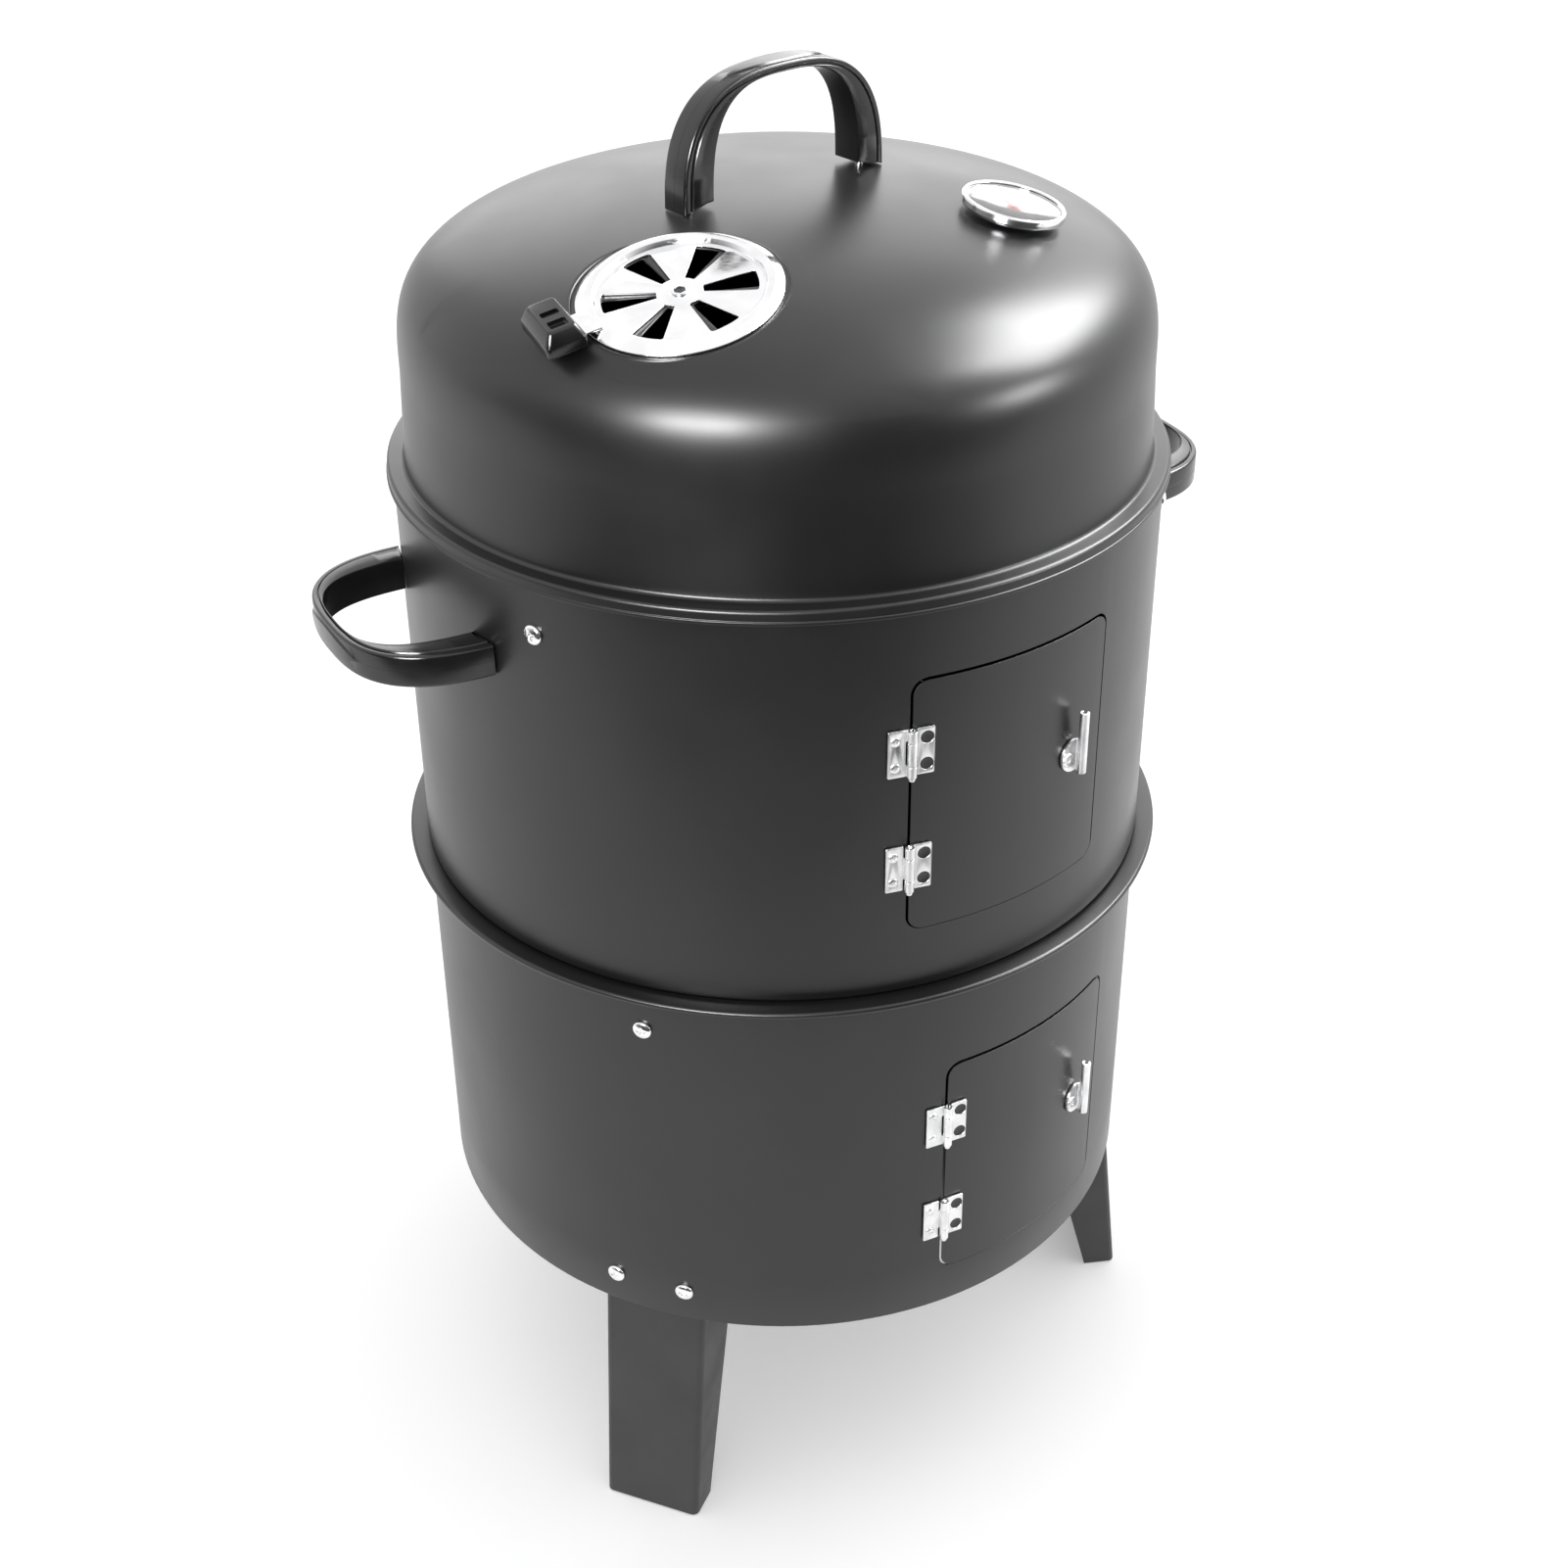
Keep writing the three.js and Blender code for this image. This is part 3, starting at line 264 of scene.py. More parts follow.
def revolve(name, profile, finish, steps=64, sharp=40):
    """A solid of revolution about Z from the (radius, z) points of half its section."""
    points = []
    rings = []
    for radius, z in profile:
        if radius < 1e-6:
            rings.append([len(points)] * steps)
            points.append((0, 0, z))
            continue
        rings.append(list(range(len(points), len(points) + steps)))
        points += [(x, y, z) for x, y in circle(radius, steps)]
    pairs = list(zip(rings, rings[1:]))
    if profile[0][0] > 1e-6:
        pairs.append((rings[-1], rings[0]))
    faces = []
    for one, two in pairs:
        for step in range(steps):
            corners = [one[step], one[(step + 1) % steps], two[(step + 1) % steps], two[step]]
            face = list(dict.fromkeys(corners))
            if len(face) > 2:
                faces.append(face)
    return mesh_piece(name, points, faces, finish, sharp)


def cells(width, rows, loop=True, keep=None):
    """Faces between rows of points; keep(row, column) says which cells stay."""
    faces = []
    for row in range(rows - 1):
        for column in range(width if loop else width - 1):
            if keep and not keep(row, column):
                continue
            one = row * width + column
            two = row * width + (column + 1) % width
            faces.append([one, two, two + width, one + width])
    return faces


def flattened(rows):
    return [point for row in rows for point in row]


def grid(name, rows, finish, loop=False, keep=None, sharp=40):
    """A sheet through rows of points."""
    faces = cells(len(rows[0]), len(rows), loop, keep)
    return mesh_piece(name, flattened(rows), faces, finish, sharp)


def stack(name, rings, finish, sharp):
    """A solid through rings of points, with a face over each end."""
    width = len(rings[0])
    ends = [list(range(width)), list(range((len(rings) - 1) * width, len(rings) * width))]
    return mesh_piece(name, flattened(rings), ends + cells(width, len(rings)), finish, sharp)


def thicken(obj, thickness, offset=-1.0):
    """Gives a sheet its thickness; offset -1 keeps the sheet as the outer face."""
    solidify = obj.modifiers.new("thickness", "SOLIDIFY")
    solidify.thickness = thickness * MM
    solidify.offset = offset
    return obj


def soften(obj, radius, angle=50, segments=2):
    """Rounds the sharp edges."""
    bevel = obj.modifiers.new("edges", "BEVEL")
    bevel.width = radius * MM
    bevel.segments = segments
    bevel.limit_method = "ANGLE"
    bevel.angle_limit = math.radians(angle)
    bevel.harden_normals = True
    return obj


def settled(obj):
    """The object with its modifiers applied."""
    graph = bpy.context.evaluated_depsgraph_get()
    mesh = bpy.data.meshes.new_from_object(obj.evaluated_get(graph))
    obj.modifiers.clear()
    obj.data = mesh
    return obj


def add_line(curve, points, closed):
    """Adds straight steps through millimetre points to a curve."""
    line = curve.splines.new("POLY")
    line.points.add(len(points) - 1)
    for knot, point in zip(line.points, points):
        knot.co = (*(Vector(point) * MM), 1)
    line.use_cyclic_u = closed


def drawn_mesh(curve):
    """The mesh of a curve or a text, which is then removed."""
    drawn = linked(curve.name, curve)
    graph = bpy.context.evaluated_depsgraph_get()
    mesh = bpy.data.meshes.new_from_object(drawn.evaluated_get(graph))
    bpy.data.objects.remove(drawn)
    bpy.data.curves.remove(curve)
    return mesh


def plate(name, outline, holes, thickness, finish, edge=0.15):
    """A flat plate with rounded edges, centred on z = 0."""
    curve = bpy.data.curves.new(name, "CURVE")
    curve.dimensions = "2D"
    curve.fill_mode = "BOTH"
    curve.extrude = (thickness / 2 - edge) * MM
    curve.bevel_depth = edge * MM
    curve.bevel_resolution = 2
    curve.offset = -edge * MM
    for points in (outline, *holes):
        add_line(curve, [(x, y, 0) for x, y in points], True)
    return mesh_object(name, drawn_mesh(curve), finish, 30)


def strip(name, path, width, thickness, finish):
    """A bent strip: a rounded (outward, z) path carried across a width, at the front of the wall."""
    bends = rounded(path, 5, closed=False)
    rows = [[(x, -radius, z) for radius, z in bends] for x in (-width / 2, width / 2)]
    return soften(thicken(grid(name, rows, finish), thickness, 0), 0.3)


def tube(name, points, radius, finish, closed=False):
    """A round wire along millimetre points."""
    curve = bpy.data.curves.new(name, "CURVE")
    curve.dimensions = "3D"
    curve.bevel_depth = radius * MM
    curve.bevel_resolution = 3
    curve.use_fill_caps = True
    add_line(curve, points, closed)
    return mesh_object(name, drawn_mesh(curve), finish)


def carve(obj, *tools):
    """Takes the tools' shapes out of an object."""
    bpy.context.view_layer.update()
    for tool in tools:
        boolean = obj.modifiers.new("cut", "BOOLEAN")
        boolean.object = tool
        boolean.operation = "DIFFERENCE"
    settled(obj)
    for tool in tools:
        bpy.data.objects.remove(tool)
    obj.data.shade_smooth()
    obj.data.set_sharp_from_angle(angle=math.radians(30))
    return obj


def merged(name, *objects):
    """One object from several, each with its modifiers applied and in its place."""
    bpy.context.view_layer.update()
    graph = bpy.context.evaluated_depsgraph_get()
    whole = bmesh.new()
    for obj in objects:
        part = bpy.data.meshes.new_from_object(obj.evaluated_get(graph))
        part.transform(obj.matrix_world)
        whole.from_mesh(part)
    mesh = bpy.data.meshes.new(name)
    whole.to_mesh(mesh)
    whole.free()
    mesh.materials.append(objects[0].data.materials[0])
    for obj in objects:
        bpy.data.objects.remove(obj)
    return linked(name, mesh)


def copy_of(obj, name):
    """A second object with the same mesh."""
    twin = obj.copy()
    twin.name = name
    bpy.context.scene.collection.objects.link(twin)
    return twin


# --- places


def turn(angle):
    """A turn about +Z, in degrees."""
    return Matrix.Rotation(math.radians(angle), 4, "Z")


def shift(x, y, z):
    return Matrix.Translation(Vector((x, y, z)) * MM)


def tip(angle):
    """A turn about +X, in degrees; by 90 it stands a flat piece up, its top facing -Y."""
    return Matrix.Rotation(math.radians(angle), 4, "X")


def on_wall(azimuth, radius, x, z):
    """Where a flat piece's +Z points out of the wall, its +X runs round it and its +Y is up."""
    return turn(azimuth) @ shift(x, -radius, z) @ tip(90)


def seat_place(joint, lift=0.0):
    """The flat seat of a lid fitting: +Z out of the lid, -Y down its slope."""
    place = Vector(joint["pos_m"])
    axis = Vector(joint["axis"])
    if axis.z < 0:
        axis = -axis
    seat = turn(azimuth_of(place)) @ tip(math.degrees(math.acos(axis.z)))
    return Matrix.Translation(place) @ seat @ shift(0, 0, lift)


def put(obj, place, body, slot, *nodes):
    """Places a finished piece, files it under its body and hides the CAD nodes it stands for; slot is
    not used.
    """
    obj.data = obj.data.copy()
    obj.data.transform(place)
    obj.matrix_world = Matrix()
    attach(obj, body)
    if nodes:
        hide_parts(*nodes)
    return obj


# --- materials


def set_range(node, source, target):
    """Sets a Map Range node to carry one range into another."""
    for socket, value in zip(("From Min", "From Max", "To Min", "To Max"), (*source, *target)):
        node.inputs[socket].default_value = value


class Finish:
    """A Principled material with helpers that add noise to its colour, roughness and surface."""

    def __init__(self, name, color, roughness, metallic=0.0, **sockets):
        self.material = bpy.data.materials.new(name)
        self.material.use_nodes = True
        self.nodes = self.material.node_tree.nodes
        self.links = self.material.node_tree.links
        self.shader = self.nodes["Principled BSDF"]
        self.coordinates = self.nodes.new("ShaderNodeTexCoord").outputs["Object"]
        self.shader.inputs["Base Color"].default_value = (*color, 1)
        self.shader.inputs["Roughness"].default_value = roughness
        self.shader.inputs["Metallic"].default_value = metallic
        for socket, value in sockets.items():
            self.shader.inputs[socket.replace("_", " ")].default_value = value
        self.normal = None

    def pattern(self, scale, detail=4.0, stretch=(1, 1, 1)):
        """A noise over the object, its features about 1/scale metres wide."""
        mapping = self.nodes.new("ShaderNodeMapping")
        mapping.inputs["Scale"].default_value = stretch
        self.links.new(self.coordinates, mapping.inputs["Vector"])
        texture = self.nodes.new("ShaderNodeTexNoise")
        texture.inputs["Scale"].default_value = scale
        texture.inputs["Detail"].default_value = detail
        self.links.new(mapping.outputs["Vector"], texture.inputs["Vector"])
        return texture.outputs["Fac"]

    def roughen(self, scale, low, high, **options):
        """Lets the roughness wander from low to high."""
        spread = self.nodes.new("ShaderNodeMapRange")
        set_range(spread, (0.35, 0.65), (low, high))
        self.links.new(self.pattern(scale, **options), spread.inputs["Value"])
        self.links.new(spread.outputs["Result"], self.shader.inputs["Roughness"])
        return self

    def tint(self, scale, dark, light, **options):
        """Lets the colour wander from dark to light."""
        ramp = self.nodes.new("ShaderNodeValToRGB")
        ramp.color_ramp.elements[0].position = 0.3
        ramp.color_ramp.elements[0].color = (*dark, 1)
        ramp.color_ramp.elements[1].position = 0.7
        ramp.color_ramp.elements[1].color = (*light, 1)
        self.links.new(self.pattern(scale, **options), ramp.inputs["Fac"])
        self.links.new(ramp.outputs["Color"], self.shader.inputs["Base Color"])
        return self

    def bump(self, scale, depth, **options):
        """Adds one layer of relief, depth in millimetres."""
        layer = self.nodes.new("ShaderNodeBump")
        layer.inputs["Strength"].default_value = 1
        layer.inputs["Distance"].default_value = depth * MM
        self.links.new(self.pattern(scale, **options), layer.inputs["Height"])
        if self.normal:
            self.links.new(self.normal, layer.inputs["Normal"])
        self.normal = layer.outputs["Normal"]
        self.links.new(self.normal, self.shader.inputs["Normal"])
        return self


def enamel():
    """Satin black enamel: faint orange peel, slow waves in the gloss and fine dust."""
    finish = Finish("enamel", (0.011, 0.011, 0.012), 0.33, Specular_IOR_Level=0.55)
    finish.tint(14, (0.009, 0.009, 0.010), (0.014, 0.014, 0.015), detail=6)
    finish.roughen(9, 0.30, 0.38, detail=8)
    finish.bump(700, 0.012, detail=2)
    return finish.bump(26, 0.05, detail=1).material


def leg_paint():
    """Sprayed black paint on the legs, greyer and duller than the enamel."""
    finish = Finish("leg_paint", (0.03, 0.03, 0.031), 0.45)
    finish.tint(30, (0.026, 0.026, 0.027), (0.036, 0.036, 0.037), detail=6)
    finish.roughen(40, 0.40, 0.52, detail=6)
    return finish.bump(900, 0.02, detail=3).material


def chrome():
    """Bright plated steel with fine handling scratches."""
    finish = Finish("chrome", (0.86, 0.86, 0.87), 0.12, 1.0)
    finish.tint(60, (0.80, 0.80, 0.81), (0.92, 0.92, 0.93), detail=4)
    finish.roughen(240, 0.07, 0.2, detail=8, stretch=(1, 9, 1))
    return finish.bump(160, 0.012, detail=2).material


def zinc():
    """Zinc-plated sheet: a soft rolled grain and cloudy plating."""
    finish = Finish("zinc", (0.78, 0.78, 0.78), 0.3, 1.0)
    finish.tint(90, (0.66, 0.66, 0.67), (0.88, 0.88, 0.88), detail=6)
    finish.roughen(320, 0.24, 0.42, detail=6, stretch=(1, 1, 0.2))
    return finish.bump(1500, 0.012, detail=2, stretch=(1, 1, 0.15)).material


def wire():
    """Plated grate wire, a little dulled."""
    finish = Finish("wire", (0.7, 0.7, 0.69), 0.28, 1.0)
    finish.tint(70, (0.55, 0.55, 0.54), (0.8, 0.8, 0.79), detail=6)
    finish.roughen(200, 0.2, 0.38, detail=6)
    return finish.bump(900, 0.02, detail=3).material


def handle_plastic():
    """Glossy moulded phenolic: slight sink waves and a fine mould texture."""
    finish = Finish("handle_plastic", (0.012, 0.012, 0.013), 0.2, Specular_IOR_Level=0.6)
    finish.tint(40, (0.010, 0.010, 0.011), (0.016, 0.016, 0.017), detail=5)
    finish.roughen(55, 0.15, 0.27, detail=8)
    finish.bump(1300, 0.006, detail=2)
    return finish.bump(45, 0.08, detail=1).material


def dial_face():
    """Printed paper-white dial."""
    finish = Finish("dial", (0.82, 0.82, 0.8), 0.5)
    finish.tint(120, (0.78, 0.78, 0.76), (0.86, 0.86, 0.85), detail=4)
    finish.roughen(400, 0.45, 0.58)
    return finish.bump(2200, 0.008, detail=2).material


def dial_print():
    """Dark print on the dial."""
    finish = Finish("dial_print", (0.03, 0.03, 0.03), 0.5)
    finish.tint(900, (0.02, 0.02, 0.02), (0.06, 0.06, 0.06), detail=3)
    finish.roughen(500, 0.42, 0.56)
    return finish.bump(2500, 0.004).material


def glass():
    """Clear dial glass with a faint smear."""
    finish = Finish("glass", (1, 1, 1), 0.03, Transmission_Weight=1.0, IOR=1.45)
    finish.roughen(60, 0.01, 0.07, detail=8)
    return finish.bump(40, 0.01, detail=1).material


def pointer_red():
    """Red enamelled pointer."""
    finish = Finish("pointer_red", (0.45, 0.02, 0.015), 0.35)
    finish.tint(300, (0.38, 0.015, 0.012), (0.52, 0.03, 0.02), detail=4)
    finish.roughen(500, 0.3, 0.42)
    return finish.bump(1800, 0.006).material


def floor_paint():
    """Pale studio floor, lit a little from within like a light table."""
    finish = Finish("floor_paint", (0.86, 0.86, 0.86), 0.7, Emission_Color=(1, 1, 1, 1),
                    Emission_Strength=0.28)
    finish.tint(3, (0.84, 0.84, 0.84), (0.88, 0.88, 0.88), detail=5)
    finish.roughen(6, 0.62, 0.78, detail=6)
    return finish.bump(120, 0.05).material


ENAMEL = enamel()
LEG_PAINT = leg_paint()
CHROME = chrome()
ZINC = zinc()
WIRE = wire()
PLASTIC = handle_plastic()
PRINT = dial_print()

# --- chambers and doors


def wall_columns(gap):
    """(azimuth from the door's middle, half-height of the opening): across it, then round the rest."""
    half = DOOR_HALF + gap
    corner = DOOR_CORNER + gap
    height = DOOR_HEIGHT / 2 + gap
    pitch = 7
    bend = arc((half - corner, height - corner), corner, math.pi / 2, 0, 7)
    flat = [(x, height) for x in [half - corner - step * pitch for step in range(1, 15)] if x > 0]
    right = [(0, height), *reversed(flat), *bend]
    left = [(-x, top) for x, top in reversed(right[1:])]
    across = [(math.degrees(math.asin(x / WALL)), top) for x, top in left + right]
    edge = across[-1][0]
    steps = 150
    span = 360 - 2 * edge
    beyond = [(edge + span * step / steps, height - corner) for step in range(1, steps)]
    return across, beyond


def wall_shell(name, azimuth, middle, below, above):
    """A chamber's sheet with its door opening; below and above are (radius, z) profile points."""
    opening, beyond = wall_columns(OPENING_GAP)
    columns = opening + beyond
    rows = []
    for radius, z in below:
        rows.append([(radius, angle, z) for angle, _ in columns])
    for side in (-1, 1):
        rows.append([(WALL, angle, middle + side * top) for angle, top in columns])
    for radius, z in above:
        rows.append([(radius, angle, z) for angle, _ in columns])
    points = [[around(radius, azimuth + angle, z) for radius, angle, z in row] for row in rows]
    hole_row = len(below)

    def keep(row, column):
        return row != hole_row or column >= len(opening) - 1

    shell = grid(name, points, ENAMEL, loop=True, keep=keep)
    return soften(thicken(shell, SHEET), 0.25)


def around(radius, azimuth, z):
    """The point at a radius, an azimuth and a height."""
    angle = math.radians(azimuth)
    return (radius * math.sin(angle), -radius * math.cos(angle), z)


def door_panel(name, azimuth, middle):
    """A door bent to the wall, its corners rounded."""
    opening, _ = wall_columns(0)
    steps = 10
    rows = []
    for step in range(steps + 1):
        share = 2 * step / steps - 1
        rows.append([around(WALL, azimuth + angle, middle + share * top)
                     for angle, top in opening])
    return soften(thicken(grid(name, rows, ENAMEL), SHEET), 0.3)


def flange():
    """The lower chamber's rolled mouth: flat on top, round at its edge, filleted into the wall."""
    low = LOWER_TOP - 3.6
    profile = rounded([
        (WALL - SHEET - 0.1, LOWER_TOP, 0.6), (WALL - SHEET - 0.1, low - 3, 0),
        (WALL + 0.02, low - 3, 0), (WALL + 0.02, low, 1.6), (FLANGE, low, 1.7),
        (FLANGE, LOWER_TOP, 1.7),
    ])
    return revolve("lower_chamber_flange", profile, ENAMEL, steps=192)


def lower_chamber(azimuth, middle):
    """The fire section's wall, its lower edge curled in, with its rolled mouth."""
    curl = 1.2
    below = [(WALL - curl, LEG_HEIGHT), (WALL - 0.35, LEG_HEIGHT + 0.3),
             (WALL, LEG_HEIGHT + curl)]
    above = [(WALL, LOWER_TOP - curl)]
    shell = wall_shell("lower_chamber_wall", azimuth, middle, below, above)
    put(merged("lower_chamber_shell", shell, flange()), Matrix(), "base", "enamel",
        "lower_chamber")


def upper_chamber(azimuth, middle):
    """The cooking section's wall over the narrower neck that stands in the mouth below."""
    neck = WALL - 1.8
    below = rounded([
        (neck, UPPER_LOW, 0), (neck, UPPER_SEAT + 0.9, 0.8), (WALL, UPPER_SEAT + 0.9, 0.9),
        (WALL, UPPER_SEAT + 6, 0),
    ], 4, closed=False)
    shell = wall_shell("upper_chamber_shell", azimuth, middle, below, [(WALL, UPPER_TOP)])
    put(shell, Matrix(), "upper_chamber", "enamel", "upper_chamber")


# --- screws


def phillips_head(name, radius, height, finish):
    """A domed screw head with a cross recess, standing on z = 0."""
    profile = [(0, height)]
    profile += [(radius * math.sin(a), height * (0.25 + 0.75 * math.cos(a)))
                for a in [math.pi / 2 * step / 8 for step in range(1, 8)]]
    profile += [(radius, height * 0.22), (radius, 0), (0, 0)]
    head = revolve(name, profile, finish, steps=40)
    arms = []
    for long_x, long_y in ((0.5, 0.13), (0.13, 0.5)):
        outline = rounded_box(radius * long_x, radius * long_y, radius * 0.08)
        arm = plate("arm", outline, [], height, finish, 0.01)
        arm.matrix_world = shift(0, 0, height * 0.98)
        arms.append(arm)
    return carve(head, *arms)


def shank(name, length, radius, finish):
    """A threaded shank that runs down from z = 0."""
    pitch = 0.8
    profile = [(0, 0.2), (radius, 0.2)]
    for index in range(int(length / pitch)):
        z = -index * pitch
        profile += [(radius * 0.86, z - 0.2), (radius, z - 0.6)]
    profile += [(radius * 0.7, -length), (0, -length)]
    return revolve(name, profile, finish, steps=20, sharp=60)


def hexagon(corner_radius):
    return circle(corner_radius, 6)


def hex_nut(name, across, height, bore, finish):
    """A nut centred on z = 0, its width given across the flats."""
    return plate(name, hexagon(across / math.sqrt(3)), [circle(bore, 24)], height, finish, 0.35)


WALL_SCREW = merged("wall_screw", phillips_head("wall_screw_head", 5.2, 2.6, CHROME),
                    shank("wall_screw_shank", 12, 2.2, CHROME))
NUT = hex_nut("wall_screw_nut", 8, 3.2, 2.3, ZINC)
NUT_DEPTH = 8.2
HINGE_HEAD = phillips_head("hinge_screw_head", 2.6, 1.0, ZINC)


def wall_screw(name, azimuth, x, z, body, *nodes):
    """A screw in the wall with its nut; off the middle line it tips with the wall."""
    lean = math.degrees(math.asin(x / WALL))
    place = turn(azimuth) @ shift(x, -math.sqrt(WALL ** 2 - x ** 2), z)
    place = place @ turn(lean) @ shift(0, -0.1, 0) @ tip(90)
    # the cross of each screw stands at an angle of its own
    spin = Matrix.Rotation(azimuth * 7 + x, 4, "Z")
    put(copy_of(WALL_SCREW, name), place @ spin, body, "chrome", *nodes)
    put(copy_of(NUT, name + "_nut"), place @ shift(0, 0, -NUT_DEPTH), body, "zinc")


# --- legs and brackets


def leg(node, azimuth):
    """A bent-sheet leg: flat face, rounded bends, two flanges that taper to the foot."""
    # height, radius of the face's outside, flange depth, half-width
    levels = [
        (0.05, LEG_FOOT, LEG_FLANGE_FOOT, LEG_HALF - 1.4),
        (LEG_HEIGHT - 6, LEG_FACE + 0.7, LEG_FLANGE_TOP - 0.5, LEG_HALF - 0.1),
        (LEG_HEIGHT, LEG_FACE, LEG_FLANGE_TOP, LEG_HALF),
        (LEG_TOP, LEG_FACE, LEG_FLANGE_TOP, LEG_HALF),
    ]
    rows = []
    for z, radius, depth, width in levels:
        half = width - LEG_SHEET / 2
        face = radius - LEG_SHEET / 2
        back = radius - depth
        outline = rounded([(-half, -back, 0), (-half, -face, LEG_BEND), (half, -face, LEG_BEND),
                           (half, -back, 0)], 6, closed=False)
        rows.append([(x, y, z) for x, y in outline])
    bent = soften(thicken(grid(f"{node}_sheet", rows, LEG_PAINT), LEG_SHEET, 0), 0.35)
    put(bent, turn(azimuth), "base", "leg_paint", node)


def leg_set():
    """The three legs, each with two screws and a ledge that carries the charcoal bowl."""
    back = LEG_FACE - LEG_SHEET - GAP - BRACKET_SHEET / 2
    for name, azimuth in zip(LEG_NAMES, LEG_AZIMUTHS):
        leg(f"{name}_leg", azimuth)
        for end, side in (("a", -1), ("b", 1)):
            node = f"{name}_leg_screw_{end}"
            wall_screw(f"{node}_steel", azimuth, side * LEG_SCREW_SPREAD, LEG_SCREW_Z, "base", node)
        bearing = high_z(f"{name}_charcoal_bracket") - BRACKET_SHEET / 2
        path = [(back, bearing - 17.5, 0), (back, bearing, 3), (165, bearing, 0)]
        ledge = strip(f"{name}_charcoal_ledge", path, LEDGE_WIDTH, BRACKET_SHEET, ZINC)
        put(ledge, turn(azimuth), "base", "zinc", f"{name}_charcoal_bracket")


def bracket_set(level, body, turned_by, screw_z, ledges):
    """Three brackets on a chamber wall; ledges are (reach, bearing height) from the lowest up."""
    back = WALL - 3
    folds = [(reach, bearing - BRACKET_SHEET / 2) for reach, bearing in ledges]
    path = [(*folds[0], 0), (back, folds[0][1], 3)]
    if len(folds) > 1:
        path += [(back, folds[1][1], 3), (*folds[1], 0)]
    else:
        path += [(back, screw_z + 8, 0)]
    for name, azimuth in zip(LEG_NAMES, LEG_AZIMUTHS):
        node = f"{name}_{level}_grate_bracket"
        sheet = strip(f"{node}_sheet", path, BRACKET_WIDTH, BRACKET_SHEET, ZINC)
        put(sheet, turn(azimuth + turned_by), body, "zinc", node)
        wall_screw(f"{node}_screw", azimuth + turned_by, 0, screw_z, body)


# --- bowls and grates


def bowl(name, node, floor, wall_radius, body):
    """A pressed bowl with rounded bends and a flat rolled rim."""
    bottom = low_z(node)
    rim = high_z(node)
    edge = half_width(node)
    profile = rounded([
        (0, bottom, 0), (floor, bottom, 9), (wall_radius, rim - SHEET, 2.5),
        (edge, rim - SHEET, 0.5), (edge, rim, 0.5), (wall_radius - SHEET, rim, 3),
        (floor - SHEET, bottom + SHEET, 8), (0, bottom + SHEET, 0),
    ])
    put(revolve(name, profile, ENAMEL, steps=128), Matrix(), body, "enamel", node)


def grate(name, node, body):
    """A round grate: a ring, close parallel rods and two rods that hold them from below."""
    low = low_z(node)
    ring_wire = 2.5
    rod_wire = 1.5
    ring_radius = half_width(node) - ring_wire
    ring = [around(ring_radius, azimuth, low + ring_wire) for azimuth in range(0, 360, 3)]
    rods = [tube("ring", ring, ring_wire, WIRE, closed=True)]
    count = int((ring_radius - 4) / GRATE_PITCH)
    for index in range(-count, count + 1):
        x = index * GRATE_PITCH
        reach = math.sqrt(ring_radius ** 2 - x * x)
        ends = [(x, -reach, low + 3.3), (x, reach, low + 3.3)]
        rods.append(tube("rod", ends, rod_wire, WIRE))
    for side in (-1, 1):
        y = side * ring_radius * 0.42
        reach = math.sqrt(ring_radius ** 2 - y * y)
        rods.append(tube("rod", [(-reach, y, low + 1.8), (reach, y, low + 1.8)], 1.6, WIRE))
    put(merged(name, *rods), Matrix(), body, "wire", node)


# --- hinges


def hinge_leaf(name, side, knuckles):
    """One leaf with its curled knuckles, centred on the hinge; side is -1 frame, +1 door."""
    inner = KNUCKLE + 0.35
    middle = (inner + LEAF_REACH) / 2 * side
    half = (LEAF_REACH - inner) / 2
    outline = [(middle + x, z) for x, z in rounded_box(half, HINGE_HEIGHT / 2, 0.8)]
    hole = 3.4 if side > 0 else 1.8
    holes = [circle(hole, 28, (side * HOLE_OUT, z)) for z in HOLE_RISES]
    leaf = plate("leaf", outline, holes, LEAF_SHEET, ZINC, 0.25)
    leaf.matrix_world = on_wall(0, WALL + GAP + LEAF_SHEET / 2, 0, 0)
    parts = [leaf, *[knuckle(side, low, high) for low, high in knuckles]]
    if side < 0:
        for z in HOLE_RISES:
            head = copy_of(HINGE_HEAD, "fixing")
            head.matrix_world = on_wall(0, WALL + GAP + LEAF_SHEET - 0.1, -HOLE_OUT, z)
            parts.append(head)
    return merged(name, *parts)


def knuckle(side, low, high):
    """Sheet curled from the leaf round the pin, from one height to another."""
    start = math.pi / 2
    curl = arc((0, -HINGE_AXIS), KNUCKLE - LEAF_SHEET / 2, start, start - side * 5.6, 28)
    leaf_middle = -WALL - GAP - LEAF_SHEET / 2
    path = [(side * (KNUCKLE + 0.9), leaf_middle), (side * 1.2, leaf_middle - 0.1), *curl]
    rows = [[(x, y, z) for x, y in path] for z in (low, high)]
    return soften(thicken(grid("knuckle", rows, ZINC, sharp=60), LEAF_SHEET, 0), 0.2)


def shade_painted_door_rivets(name):
    """The two flush rivets in a door leaf's countersinks, coloured dark grey as painted shade for
    their wells.
    """
    profile = rounded([(0, 0.5, 0), (1.4, 0.5, 0.2), (3.2, 1.0, 0.1), (3.3, 0.1, 0), (0, 0.1, 0)])
    rivets = []
    for z in HOLE_RISES:
        # the dark leg paint on these rivets is painted shade for the countersinks' wells
        rivet = revolve("rivet", profile, LEG_PAINT, steps=28, sharp=20)
        rivet.matrix_world = on_wall(0, WALL + GAP, HOLE_OUT, z)
        rivets.append(rivet)
    return merged(name, *rivets)


